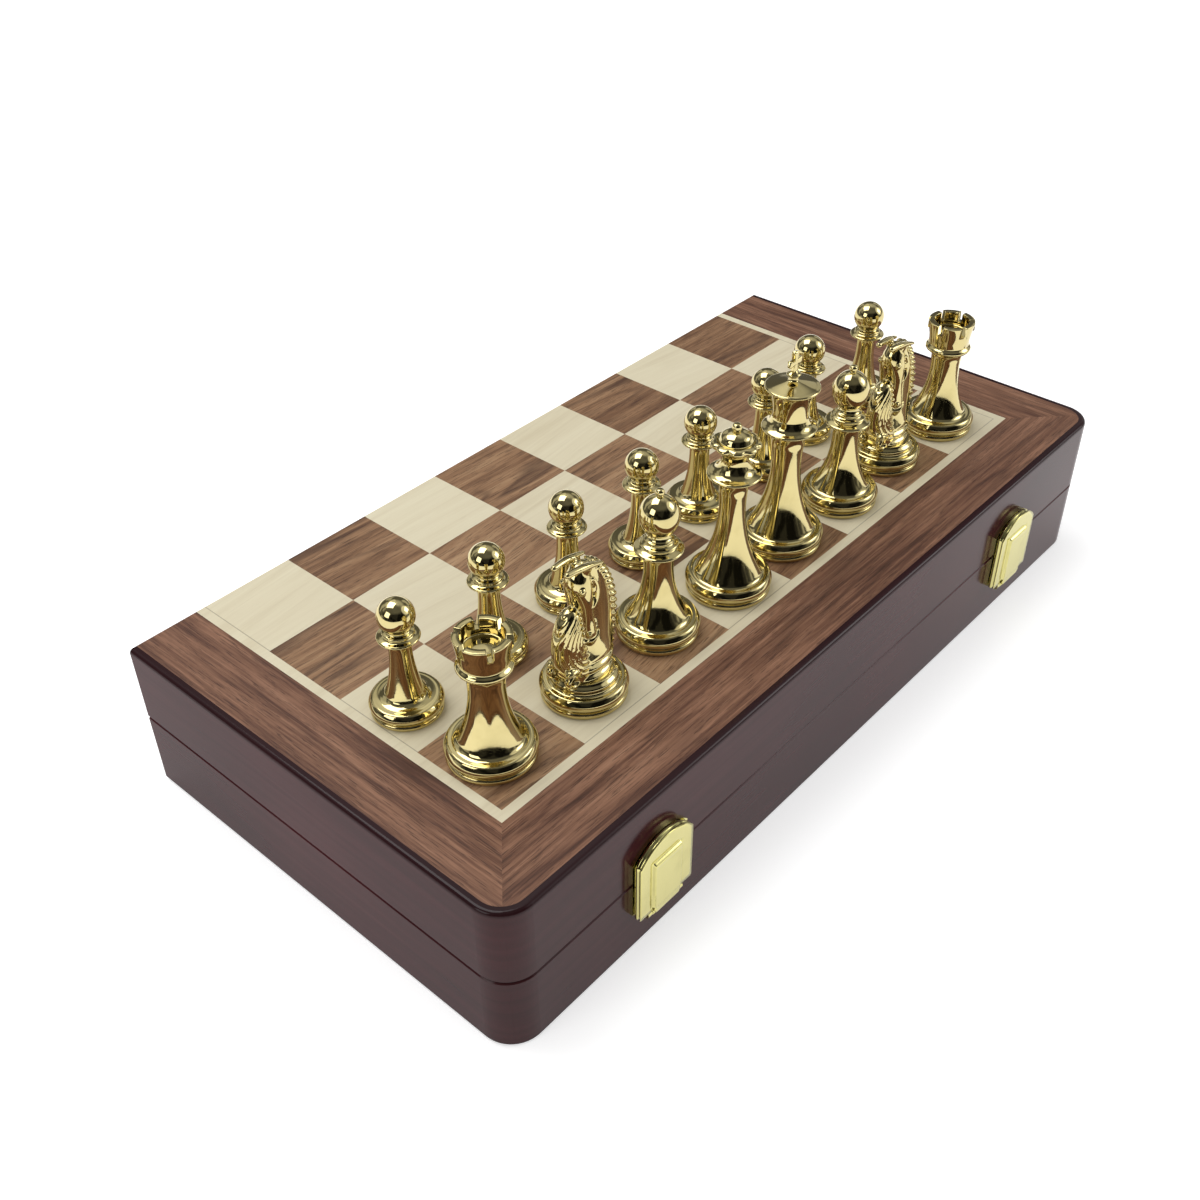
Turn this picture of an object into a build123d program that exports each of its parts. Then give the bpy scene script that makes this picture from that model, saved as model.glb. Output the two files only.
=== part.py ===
from build123d import *
import os
from math import cos, pi, sin, sqrt

# A folding chess board case, closed, with one army of cast metal pieces set out on its upper face
# and the other army lying in the fitted tray inside. Millimetres, +Z up. The origin is the centre of
# the face that the case rests on, +X runs along the long side and the clasps are on the -Y side.

# Board face
SQUARE = 31.0
FILES = 8
RANKS = 4
STRINGING = 3.0
BORDER = 20.5
LIP = 2.5
CORNER_R = 10.0
MARGIN = STRINGING + BORDER + LIP
LENGTH = FILES * SQUARE + 2 * MARGIN
DEPTH = RANKS * SQUARE + MARGIN

# Case walls
CASE_HEIGHT = 52.0
PARTING_GAP = 0.4
BACK_GAP = 0.15
RAIL = 9.0
BACK_LIP = 3.0
PANEL = 4.0
VENEER = 0.8
ARRIS_R = 1.3
RIM_BREAK = 0.35

# Places that follow from the case
TOP_Z = CASE_HEIGHT
PARTING_Z = CASE_HEIGHT / 2
RIM_Z = PARTING_Z + PARTING_GAP / 2
VENEER_Z = TOP_Z - VENEER
PANEL_Z = VENEER_Z - PANEL
LEFT_X = -LENGTH / 2
FRONT_Y = -DEPTH / 2
HINGE_Y = DEPTH / 2
BACK_Y = HINGE_Y - BACK_GAP
BOARD_X = LEFT_X + MARGIN
BOARD_Y = FRONT_Y + MARGIN
ROOM_X = LENGTH / 2 - RAIL
ROOM_FRONT = FRONT_Y + RAIL
ROOM_BACK = BACK_Y - RAIL

# Fitted tray in each half: a felt pad and padded dividers
PAD = 1.5
DIVIDER = 5.0
LONG_DIVIDER = 10.0
PAWN_CELL = 44.0
DIVIDER_DROP = 0.6
TRAY_GAP = 0.2
CELLS = FILES

# Two butt hinges let into the back rails
HINGE_X = 94.0
LEAF_LENGTH = 32.0
LEAF_WIDTH = 7.0
LEAF = 1.0
KNUCKLE_R = 2.0
KNUCKLE_SHARE = 0.34
KNUCKLE_GAP = 0.35
END_GAP = 0.2
PIN_R = 0.9
RUNNING_GAP = 0.05
LET_IN_GAP = 0.05
SCREWS = 3
SCREW_PITCH = 11.0
SCREW_R = 0.75
SCREW_HEAD_R = 1.5
SCREW_HEAD = 0.6
SCREW_LENGTH = 7.0
SLOT_WIDTH = 0.4
SLOT_DEPTH = 0.25

# Two clasps on the front
CLASP_X = 94.0
PLATE = 0.8
PLATE_HALF = 11.1
PLATE_TOP = 39.1
PLATE_SHOULDER = 34.4
PLATE_FOOT = 15.0
COVER_HALF = 10.8
COVER_TOP = 39.5
COVER_SHOULDER = 34.0
COVER_FOOT = 14.0
COVER_OUT = 3.6
COVER_WALL = 0.9
FLANGE_GAP = 0.4
PIVOT_OUT = 1.9
PIVOT_Z = 12.8
CURL_R = 1.4
EAR_R = 1.25
EAR_WIDTH = 1.6
EAR_GAP = 0.2
CLASP_PIN_R = 0.6
TONGUE_HALF = 5.35
TONGUE_RISE = 0.2
BOSS_HALF = 5.6
BOSS_FOOT = 22.5
BOSS_TOP = 32.3
BOSS_RISE = 0.5
BEAD_HALF = 4.0
BEAD_TALL = 0.9
BEAD_GAP = 0.2
BEAD_PROUD = 0.5
KEEPER_BEAD_Z = 30.4
COVER_BEAD_Z = 28.8
NAIL_X = 8.0
NAIL_OFF_PARTING = 5.5
NAIL_R = 0.6
NAIL_HEAD_R = 1.1
NAIL_HEAD = 0.4
NAIL_LENGTH = 5.0

# Feet of the turned pieces: a lower ring, a groove, a rounded roll and a shallow cone up to the body
RING_SETBACK = 0.3
RING_TALL = 2.0
GROOVE_TALL = 0.4
GROOVE_DEPTH = 1.1
ROLL_TALL = 3.8
ROLL_SWELL = 0.8
PAWN_RING_TALL = 1.7
PAWN_ROLL_TALL = 3.2
CONE_RISE = 0.9
FELT_INSET = 2.0
FELT_THICK = 0.6

# How far the curves of the turned pieces leave a straight line, over the distance that they cover
HALF_ROUND = 0.5
RING_SWELL = 0.25
BODY_HOLLOW = 0.075
PAWN_HOLLOW = 0.042
COLLAR_HOLLOW = 0.19
SLOPE_HOLLOW = 0.085
NECK_HOLLOW = 0.14
CROWN_HOLLOW = 0.17
TOWER_HOLLOW = 0.03
DRUM_HOLLOW = 0.054
PLINTH_HOLLOW = 0.135
NECK_SWELL = 0.28
BOWL_SWELL = 0.05
DROP_SWELL = 0.17
DOME_SWELL = 0.22
BEAD_SEAT = 0.6

# Pawn
PAWN_R = 10.4
PAWN_BODY_R = 5.6
PAWN_WAIST_R = 3.2
PAWN_WAIST_Z = 22.8
PAWN_COLLAR_R = 5.8
PAWN_RIM = 0.41
PAWN_COLLAR_Z = 25.6
PAWN_NECK_R = 3.3
PAWN_BALL_R = 5.2
PAWN_BALL_Z = 32.1

# Rook
ROOK_R = 12.6
ROOK_BODY_R = 8.3
ROOK_WAIST_R = 4.4
ROOK_WAIST_Z = 27.5
ROOK_COLLAR_R = 8.5
ROOK_RIM = 0.6
ROOK_COLLAR_Z = 30.8
ROOK_CROWN_R = 8.0
ROOK_CROWN_FOOT_R = 7.2
ROOK_CROWN_WALL = 1.9
ROOK_TOP_Z = 40.6
ROOK_BOWL = 3.4
ROOK_BOWL_RISE = 0.85
NOTCHES = 6
NOTCH_WIDTH = 1.7
NOTCH_TALL = 2.9

# Bishop
BISHOP_R = 12.45
BISHOP_BODY_R = 8.3
BISHOP_WAIST_R = 3.9
BISHOP_WAIST_Z = 27.0
BISHOP_COLLAR_R = 6.6
BISHOP_RIM = 0.47
BISHOP_COLLAR_Z = 29.6
BISHOP_RING_R = 5.2
BISHOP_RING_Z = 31.6
BISHOP_RING_RIM = 0.37
BISHOP_NECK_R = 3.6
BISHOP_NECK_Z = 33.6
BISHOP_BALL_R = 5.7
BISHOP_BALL_Z = 40.9
BISHOP_BEAD_R = 1.3

# Queen
QUEEN_R = 13.1
QUEEN_BODY_R = 9.2
QUEEN_WAIST_R = 3.9
QUEEN_WAIST_Z = 35.6
QUEEN_COLLAR_R = 8.6
QUEEN_RIM = 0.48
QUEEN_COLLAR_Z = 40.4
QUEEN_NECK_R = 3.7
QUEEN_NECK_Z = 45.2
QUEEN_CROWN_R = 7.4
QUEEN_CROWN_Z = 49.4
QUEEN_CROWN_TALL = 1.5
QUEEN_LOBES = 9
QUEEN_SCALLOP_R = 1.5
QUEEN_SCALLOP_DEEP = 0.7
QUEEN_DOME_R = 4.4
QUEEN_DOME_SINK = 0.5
QUEEN_DOME_RISE = 3.4
QUEEN_BEAD_R = 1.4

# King
KING_R = 13.4
KING_BODY_R = 9.5
KING_WAIST_R = 4.6
KING_WAIST_Z = 36.4
KING_COLLAR_R = 8.6
KING_RIM = 0.48
KING_COLLAR_Z = 41.2
KING_NECK_R = 5.3
KING_NECK_Z = 45.0
KING_DRUM_R = 6.3
KING_CROWN_R = 8.3
KING_CROWN_Z = 52.4
KING_CROWN_TALL = 1.1
KING_CAP_RISE = 2.2
KING_STEM_R = 1.3
KING_STEM_RING_R = 2.2
KING_STEM_RING_Z = 58.0
KING_STEM_RIM = 0.44
KING_TOP_Z = 66.0
CROSS_HALF = 2.9
CROSS_WIDTH = 1.9
CROSS_THICK = 1.7
CROSS_ARM_Z = 62.4

# Knight
KNIGHT_R = 12.5
KNIGHT_STEP_R = 8.9
KNIGHT_STEP_TALL = 2.2
KNIGHT_PLINTH_R = 8.0
KNIGHT_PLINTH_Z = 13.0
KNIGHT_FOOT_FRONT_Y = 7.6
KNIGHT_FOOT_BACK_Y = 8.7
KNIGHT_FOOT_HALF = 6.2
KNIGHT_CHEST_Y = 10.2
KNIGHT_CHEST_Z = 21.5
KNIGHT_CHEST_HALF = 4.4
KNIGHT_CHIN_Y = 7.6
KNIGHT_CHIN_Z = 29.4
KNIGHT_THROAT_Y = 3.4
KNIGHT_THROAT_Z = 30.6
KNIGHT_THROAT_HALF = 3.1
KNIGHT_JAW_HALF = 3.9
KNIGHT_FACE_Y = 5.2
KNIGHT_FACE_Z = 37.4
KNIGHT_POLL_Y = 3.4
KNIGHT_POLL_Z = 43.0
KNIGHT_POLL_HALF = 2.8
KNIGHT_EAR_Y = 3.8
KNIGHT_EAR_Z = 46.4
KNIGHT_EAR_HALF = 2.1
KNIGHT_EAR_NOTCH = 2.2
KNIGHT_NAPE_Y = 8.6
KNIGHT_NAPE_Z = 36.4
KNIGHT_CREST_Y = 11.4
KNIGHT_CREST_Z = 25.0
KNIGHT_TURN = 90.0

# Where each gold piece stands: file number, rank number and how far it was set down off centre
PLACES = {
    "gold_rook_left": (0, 0, -3.0, 0.4),
    "gold_knight_left": (1, 0, -0.3, -1.5),
    "gold_bishop_left": (2, 0, 1.7, -0.1),
    "gold_queen": (3, 0, 0.8, -2.6),
    "gold_king": (4, 0, -0.7, -0.5),
    "gold_bishop_right": (5, 0, -0.8, -1.9),
    "gold_knight_right": (6, 0, -1.8, 0.6),
    "gold_rook_right": (7, 0, -1.4, -1.7),
    "gold_pawn_1": (0, 1, -5.5, -0.9),
    "gold_pawn_2": (1, 1, -4.7, -1.7),
    "gold_pawn_3": (2, 1, -3.3, -1.1),
    "gold_pawn_4": (3, 1, -3.4, -3.1),
    "gold_pawn_5": (4, 1, -3.6, -1.0),
    "gold_pawn_6": (5, 1, -1.9, -2.5),
    "gold_pawn_7": (6, 1, -5.1, 0.0),
    "gold_pawn_8": (7, 1, -2.1, -1.6),
}
BACK_ROW = ["rook", "knight", "bishop", "queen", "king", "bishop", "knight", "rook"]
STOWED_END_GAP = 1.5
STOWED_LIFT = 0.1


def block(x_span, y_span, z_span):
    """A box from its low and high sides along X, Y and Z."""
    size = [high - low for low, high in (x_span, y_span, z_span)]
    middle = [(high + low) / 2 for low, high in (x_span, y_span, z_span)]
    return Pos(*middle) * Box(*size)


def rod(start, radius, length, direction):
    """A round rod from a start point along one axis direction."""
    plane = Plane(origin=start, z_dir=direction)
    return extrude(plane * Circle(radius), amount=length)


def one(shape):
    """The single solid in a result."""
    return shape.solids()[0]


def group(shapes):
    """Several separate solids kept together in one node."""
    return Compound([solid for shape in shapes for solid in shape.solids()])


def to_lower(shape):
    """The same piece on the lower half, mirrored in the parting plane."""
    return mirror(shape, about=Plane.XY.offset(PARTING_Z))


def plan(inset, back_y):
    """The outline of the case seen from above, inset at the front and sides, cut off at back_y."""
    width = LENGTH - 2 * inset
    front = FRONT_Y + inset
    sheet = Pos(0, (front + back_y) / 2) * Rectangle(width, back_y - front)
    return fillet(sheet.vertices().group_by(Axis.Y)[0], CORNER_R - inset)


def slab(outline, low, high):
    """An outline carried straight up between two heights."""
    return extrude(Pos(0, 0, low) * outline, amount=high - low)


def wedge(*corners):
    """A tall prism over a plan polygon, used to cut mitred joints."""
    return slab(make_face(Polyline(*corners, close=True)), 0, TOP_Z)


# Case rails
def side_ring():
    """The four walls of the upper half before they are mitred apart."""
    ring = one(slab(plan(0, BACK_Y), RIM_Z, TOP_Z))
    top_edges = [e for e in ring.edges().group_by(Axis.Z)[-1] if e.center().Y < BACK_Y - RAIL]
    ring = one(fillet(top_edges, ARRIS_R))
    rim_edges = [e for e in ring.edges().group_by(Axis.Z)[0] if e.center().Y < BACK_Y - RAIL]
    ring = one(chamfer(rim_edges, RIM_BREAK))
    ring -= block((-ROOM_X, ROOM_X), (ROOM_FRONT, ROOM_BACK), (0, TOP_Z + RAIL))
    ring -= slab(plan(LIP, BACK_Y - BACK_LIP), PANEL_Z, TOP_Z + RAIL)
    ring -= slab(plan(LIP, BACK_Y + RAIL), VENEER_Z, TOP_Z + RAIL)
    return ring


def mitre_wedges():
    """Plan wedges that part the ring at its four mitred corners."""
    reach = LENGTH / 2 - DEPTH / 2
    front = wedge((LEFT_X, FRONT_Y), (-LEFT_X, FRONT_Y), (reach, 0), (-reach, 0))
    back = wedge((LEFT_X, HINGE_Y), (-LEFT_X, HINGE_Y), (reach, 0), (-reach, 0))
    left = wedge((LEFT_X, FRONT_Y), (-reach, 0), (LEFT_X, HINGE_Y))
    right = wedge((-LEFT_X, FRONT_Y), (reach, 0), (-LEFT_X, HINGE_Y))
    return front, back, left, right


def rails():
    """Front, back, left and right rails of the upper half."""
    ring = side_ring()
    front, back, left, right = [one(ring & cutter) for cutter in mitre_wedges()]
    for side in (-1, 1):
        back -= hinge_recess(side * HINGE_X)
        for nail_x in nail_places(side * CLASP_X):
            front -= rod((nail_x, FRONT_Y, PARTING_Z + NAIL_OFF_PARTING), NAIL_R + RUNNING_GAP,
                         NAIL_LENGTH + LET_IN_GAP, (0, 1, 0))
    return one(front), one(back), one(left), one(right)


# Board face
def panel():
    """The thin board that carries the veneers, let into the rails."""
    return one(slab(plan(LIP, BACK_Y - BACK_LIP), PANEL_Z, VENEER_Z))


def framed_strips(outer, inner_x, inner_y):
    """Three strips round the squares, mitred at the two front corners."""
    inside = block((-inner_x, inner_x), (inner_y, BACK_Y + RAIL), (0, TOP_Z + RAIL))
    sheet = slab(outer, VENEER_Z, TOP_Z) - inside
    apex = (0, FRONT_Y + LENGTH / 2)
    front = wedge((LEFT_X, FRONT_Y), (-LEFT_X, FRONT_Y), apex)
    left = wedge((LEFT_X, FRONT_Y), (LEFT_X, HINGE_Y), (LEFT_X + DEPTH, HINGE_Y))
    right = wedge((-LEFT_X, FRONT_Y), (-LEFT_X, HINGE_Y), (-LEFT_X - DEPTH, HINGE_Y))
    return group([sheet & front, sheet & left, sheet & right])


def border():
    """Wide dark veneer strips between the lacquered edge and the pale line."""
    reach = LIP + BORDER
    return framed_strips(plan(LIP, BACK_Y), LENGTH / 2 - reach, FRONT_Y + reach)


def stringing():
    """The narrow pale line round the squares."""
    reach = LIP + BORDER
    width = LENGTH - 2 * reach
    front = FRONT_Y + reach
    outer = Pos(0, (front + BACK_Y) / 2) * Rectangle(width, BACK_Y - front)
    return framed_strips(outer, LENGTH / 2 - MARGIN, FRONT_Y + MARGIN)


def squares(parity):
    """All the squares of one colour on one half."""
    tiles = []
    for column in range(FILES):
        for row in range(RANKS):
            if (column + row) % 2 == parity:
                left = BOARD_X + column * SQUARE
                front = BOARD_Y + row * SQUARE
                back = min(front + SQUARE, BACK_Y)
                tiles.append(block((left, left + SQUARE), (front, back), (VENEER_Z, TOP_Z)))
    return group(tiles)


# Fitted tray
def cell_width():
    """Clear width of one compartment."""
    return (2 * (ROOM_X - TRAY_GAP) - (CELLS - 1) * DIVIDER) / CELLS


def cell_middle(number):
    """Middle of one compartment along X."""
    return -ROOM_X + TRAY_GAP + (number + 0.5) * cell_width() + number * DIVIDER


def divider_back():
    """Back face of the long divider, where the pawn compartments begin."""
    return ROOM_BACK - TRAY_GAP - PAWN_CELL


def tray_pad():
    """The felt-covered board that lines the inside of the panel."""
    return block((-ROOM_X + TRAY_GAP, ROOM_X - TRAY_GAP),
                 (ROOM_FRONT + TRAY_GAP, ROOM_BACK - TRAY_GAP), (PANEL_Z - PAD, PANEL_Z))


def tray_dividers():
    """One long divider and the short cross dividers on both sides of it."""
    heights = (RIM_Z + DIVIDER_DROP, PANEL_Z - PAD)
    long_span = (divider_back() - LONG_DIVIDER, divider_back())
    pieces = [block((-ROOM_X + TRAY_GAP, ROOM_X - TRAY_GAP), long_span, heights)]
    for number in range(1, CELLS):
        right = cell_middle(number) - cell_width() / 2
        wall = (right - DIVIDER, right)
        pieces.append(block(wall, (ROOM_FRONT + TRAY_GAP, long_span[0]), heights))
        pieces.append(block(wall, (long_span[1], ROOM_BACK - TRAY_GAP), heights))
    return group(pieces)


# Hinges
def axle(x_span, radius):
    """A round bar on the hinge line."""
    return rod((x_span[0], HINGE_Y, PARTING_Z), radius, x_span[1] - x_span[0], (1, 0, 0))


def knuckle_spans(middle_x):
    """The three knuckles of one hinge along X, outer, centre and outer."""
    half = LEAF_LENGTH / 2
    centre = LEAF_LENGTH * KNUCKLE_SHARE / 2
    return ((middle_x - half, middle_x - centre - END_GAP), (middle_x - centre, middle_x + centre),
            (middle_x + centre + END_GAP, middle_x + half))


def screw_places(middle_x):
    """The screws of one leaf along X."""
    return [middle_x + (number - (SCREWS - 1) / 2) * SCREW_PITCH for number in range(SCREWS)]


def screw_y():
    """Screw line, in the middle of the leaf's flat."""
    return BACK_Y - (LEAF_WIDTH + KNUCKLE_R) / 2


def hinge_recess(middle_x):
    """What is cut from the upper back rail for one leaf, the knuckle and its screws."""
    half = LEAF_LENGTH / 2 + LET_IN_GAP
    recess = block((middle_x - half, middle_x + half), (BACK_Y - LEAF_WIDTH - LET_IN_GAP, HINGE_Y),
                   (PARTING_Z, RIM_Z + LEAF + LET_IN_GAP))
    recess += axle((middle_x - half - END_GAP, middle_x + half + END_GAP), KNUCKLE_R + KNUCKLE_GAP)
    for screw_x in screw_places(middle_x):
        recess += rod((screw_x, screw_y(), RIM_Z), SCREW_R + RUNNING_GAP,
                      SCREW_LENGTH + LET_IN_GAP, (0, 0, 1))
    return recess


def screw_blank(screw_x, gap, length):
    """A countersunk screw with its head at the rim, or its hole when a gap is given."""
    head = Pos(screw_x, screw_y(), RIM_Z + SCREW_HEAD / 2) * Cone(
        SCREW_HEAD_R + gap, SCREW_R + gap, SCREW_HEAD)
    return head + rod((screw_x, screw_y(), RIM_Z), SCREW_R + gap, length, (0, 0, 1))


def leaf(middle_x, own, other):
    """One leaf in the upper rail with the knuckles numbered in own, clear of those in other."""
    spans = knuckle_spans(middle_x)
    half = LEAF_LENGTH / 2
    flat = block((middle_x - half, middle_x + half), (BACK_Y - LEAF_WIDTH, HINGE_Y), (RIM_Z, RIM_Z + LEAF))
    for number in other:
        low, high = spans[number]
        flat -= axle((low - END_GAP, high + END_GAP), KNUCKLE_R + KNUCKLE_GAP)
    for number in own:
        flat += axle(spans[number], KNUCKLE_R)
    flat -= axle((middle_x - LEAF_LENGTH, middle_x + LEAF_LENGTH), PIN_R + RUNNING_GAP)
    for screw_x in screw_places(middle_x):
        flat -= screw_blank(screw_x, LET_IN_GAP, LEAF + LET_IN_GAP)
    return one(flat)


def hinge_pins():
    """The pins of both hinges."""
    half = LEAF_LENGTH / 2
    return group([axle((side * HINGE_X - half, side * HINGE_X + half), PIN_R) for side in (-1, 1)])


def hinge_screws():
    """All the screws in the upper rail, slotted."""
    screws = []
    for side in (-1, 1):
        for screw_x in screw_places(side * HINGE_X):
            slot = block((screw_x - SCREW_HEAD_R, screw_x + SCREW_HEAD_R),
                         (screw_y() - SLOT_WIDTH / 2, screw_y() + SLOT_WIDTH / 2),
                         (RIM_Z - SLOT_DEPTH, RIM_Z + SLOT_DEPTH))
            screws.append(screw_blank(screw_x, 0, SCREW_LENGTH) - slot)
    return group(screws)


# Clasps
def arched(middle_x, half, foot, shoulder, top):
    """A plate outline on the front of the case with a flat arch on top."""
    sides = Polyline((middle_x + half, shoulder), (middle_x + half, foot),
                     (middle_x - half, foot), (middle_x - half, shoulder))
    arch = ThreePointArc((middle_x - half, shoulder), (middle_x, top), (middle_x + half, shoulder))
    return make_face([*sides.edges(), arch])


def stand_off(outline, near, far):
    """A front outline made solid between two distances in front of the case."""
    plane = Plane(origin=(0, FRONT_Y - near, 0), x_dir=(1, 0, 0), z_dir=(0, -1, 0))
    return extrude(plane * outline, amount=far - near)


def nail_places(middle_x):
    """The two nails of one clasp plate along X."""
    return (middle_x - NAIL_X, middle_x + NAIL_X)


def nail(nail_x, nail_z):
    """A small round-headed nail through a clasp plate into the front rail."""
    shank = rod((nail_x, FRONT_Y - PLATE, nail_z), NAIL_R, PLATE + NAIL_LENGTH, (0, 1, 0))
    return shank + rod((nail_x, FRONT_Y - PLATE, nail_z), NAIL_HEAD_R, NAIL_HEAD, (0, -1, 0))


def clasp_nails(nail_z):
    """The nails of both clasps in one rail."""
    return group([nail(x, nail_z) for side in (-1, 1) for x in nail_places(side * CLASP_X)])


def drill_nails(plate, middle_x, nail_z):
    """The plate with its nail holes."""
    for nail_x in nail_places(middle_x):
        plate -= rod((nail_x, FRONT_Y - COVER_OUT, nail_z), NAIL_R + RUNNING_GAP, COVER_OUT, (0, 1, 0))
    return plate


def keeper_plate(middle_x):
    """The plate on the upper half, with the low bead that the cover snaps over."""
    plate = stand_off(arched(middle_x, PLATE_HALF, RIM_Z, PLATE_SHOULDER, PLATE_TOP), 0, PLATE)
    plate += block((middle_x - BEAD_HALF, middle_x + BEAD_HALF),
                   (FRONT_Y - PLATE - BEAD_PROUD, FRONT_Y - PLATE),
                   (KEEPER_BEAD_Z - BEAD_TALL / 2, KEEPER_BEAD_Z + BEAD_TALL / 2))
    return one(drill_nails(plate, middle_x, PARTING_Z + NAIL_OFF_PARTING))


def clasp_bar(middle_x, half, radius):
    """A round bar on a clasp's pivot line."""
    return rod((middle_x - half, FRONT_Y - PIVOT_OUT, PIVOT_Z), radius, 2 * half, (1, 0, 0))


def pivot_plate(middle_x):
    """The plate on the lower half with two ears for the clasp's pin."""
    low_rim = 2 * PARTING_Z - RIM_Z
    plate = block((middle_x - PLATE_HALF, middle_x + PLATE_HALF), (FRONT_Y - PLATE, FRONT_Y),
                  (PLATE_FOOT, low_rim))
    for side in (-1, 1):
        near = middle_x + side * (TONGUE_HALF + EAR_GAP)
        far = near + side * EAR_WIDTH
        span = (min(near, far), max(near, far))
        plate += block(span, (FRONT_Y - PLATE, FRONT_Y), (PIVOT_Z - EAR_R, PLATE_FOOT))
        plate += block(span, (FRONT_Y - PIVOT_OUT, FRONT_Y), (PIVOT_Z - EAR_R, PIVOT_Z + EAR_R))
        plate += rod((span[0], FRONT_Y - PIVOT_OUT, PIVOT_Z), EAR_R, EAR_WIDTH, (1, 0, 0))
    plate -= clasp_bar(middle_x, PLATE_HALF, CLASP_PIN_R + RUNNING_GAP)
    return one(drill_nails(plate, middle_x, PARTING_Z - NAIL_OFF_PARTING))


def cover(middle_x):
    """The swinging front of a clasp: a pressed shell with a raised boss, a tongue and a curl."""
    inner_face = COVER_OUT - COVER_WALL
    back = PLATE + FLANGE_GAP
    shell = stand_off(arched(middle_x, COVER_HALF, COVER_FOOT, COVER_SHOULDER, COVER_TOP), back, COVER_OUT)
    hollow = arched(middle_x, COVER_HALF - COVER_WALL, 0, COVER_SHOULDER - COVER_WALL / 2,
                    COVER_TOP - COVER_WALL)
    shell -= stand_off(hollow, 0, inner_face)
    tongue = (middle_x - TONGUE_HALF, middle_x + TONGUE_HALF)
    front = FRONT_Y - COVER_OUT
    shell += block(tongue, (front - TONGUE_RISE, front + COVER_WALL), (PIVOT_Z, BOSS_FOOT))
    shell += block((middle_x - BOSS_HALF, middle_x + BOSS_HALF), (front - BOSS_RISE, front),
                   (BOSS_FOOT, BOSS_TOP))
    shell += clasp_bar(middle_x, TONGUE_HALF, CURL_R)
    bead_out = PLATE + BEAD_PROUD + BEAD_GAP
    shell += block((middle_x - BEAD_HALF, middle_x + BEAD_HALF), (FRONT_Y - inner_face, FRONT_Y - bead_out),
                   (COVER_BEAD_Z - BEAD_TALL / 2, COVER_BEAD_Z + BEAD_TALL / 2))
    shell -= clasp_bar(middle_x, COVER_HALF, CLASP_PIN_R + RUNNING_GAP)
    return one(shell)


def clasp_pins():
    """The pivot pins of both clasps."""
    half = TONGUE_HALF + EAR_GAP + EAR_WIDTH
    return group([clasp_bar(side * CLASP_X, half, CLASP_PIN_R) for side in (-1, 1)])


# Turned pieces
def turned(moves):
    """Spin an outline about Z. Each move is a line to (r, z), an arc to (r, z) that bulges outward
    by the third number times the distance covered, or an arc by way of (r, z) to (r, z)."""
    start = Vector(moves[0][0], 0, moves[0][1])
    here = start
    edges = []
    for move in moves[1:]:
        there = Vector(move[-2], 0, move[-1]) if len(move) == 4 else Vector(move[0], 0, move[1])
        if len(move) == 2:
            edges.append(Line(here, there))
        elif len(move) == 3:
            run = there - here
            side = Vector(run.Z, 0, -run.X) * move[2]
            edges.append(ThreePointArc(here, (here + there) * 0.5 + side, there))
        else:
            edges.append(ThreePointArc(here, Vector(move[0], 0, move[1]), there))
        here = there
    edges.append(Line(here, start))
    return one(revolve(make_face(edges), Axis.Z, 360))


def foot(base_r, body_r, ring_tall, roll_tall):
    """Outline of a stepped foot from the felt recess up to the start of the body."""
    ring_r = base_r - RING_SETBACK
    groove_r = base_r - GROOVE_DEPTH
    roll_low = ring_tall + GROOVE_TALL
    roll_top = roll_low + roll_tall
    ring_edge = ring_r - ring_tall * RING_SWELL
    felt_r = base_r - FELT_INSET
    return [
        (0, FELT_THICK),
        (felt_r, FELT_THICK),
        (felt_r, 0),
        (ring_edge, 0),
        (ring_edge, ring_tall, RING_SWELL),
        (groove_r, ring_tall),
        (groove_r, roll_low),
        (base_r - ROLL_SWELL, roll_low),
        (base_r - ROLL_SWELL, roll_top, ROLL_SWELL / roll_tall),
        (base_r - 2 * ROLL_SWELL, roll_top),
        (body_r, roll_top + CONE_RISE),
    ]


def bead_foot(bead_r, seat_z):
    """Where a small top bead meets the surface it sits on."""
    return (BEAD_SEAT * bead_r, seat_z)


def bead_top(bead_r, seat_z):
    """The move that closes a small top bead, by way of its widest point up to the axis."""
    centre_z = seat_z + bead_r * sqrt(1 - BEAD_SEAT ** 2)
    return (bead_r, centre_z, 0, centre_z + bead_r)


def pawn():
    """Ball head over a thin collar on a waisted body."""
    neck_z = PAWN_BALL_Z - sqrt(PAWN_BALL_R ** 2 - PAWN_NECK_R ** 2)
    return turned(foot(PAWN_R, PAWN_BODY_R, PAWN_RING_TALL, PAWN_ROLL_TALL) + [
        (PAWN_WAIST_R, PAWN_WAIST_Z, -PAWN_HOLLOW),
        (PAWN_COLLAR_R - PAWN_RIM, PAWN_COLLAR_Z - PAWN_RIM, -COLLAR_HOLLOW),
        (PAWN_COLLAR_R - PAWN_RIM, PAWN_COLLAR_Z + PAWN_RIM, HALF_ROUND),
        (PAWN_NECK_R + 2 * PAWN_RIM, PAWN_COLLAR_Z + 3 * PAWN_RIM, -NECK_HOLLOW),
        (PAWN_NECK_R, neck_z, NECK_SWELL),
        (PAWN_BALL_R, PAWN_BALL_Z, 0, PAWN_BALL_Z + PAWN_BALL_R),
    ])


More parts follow.
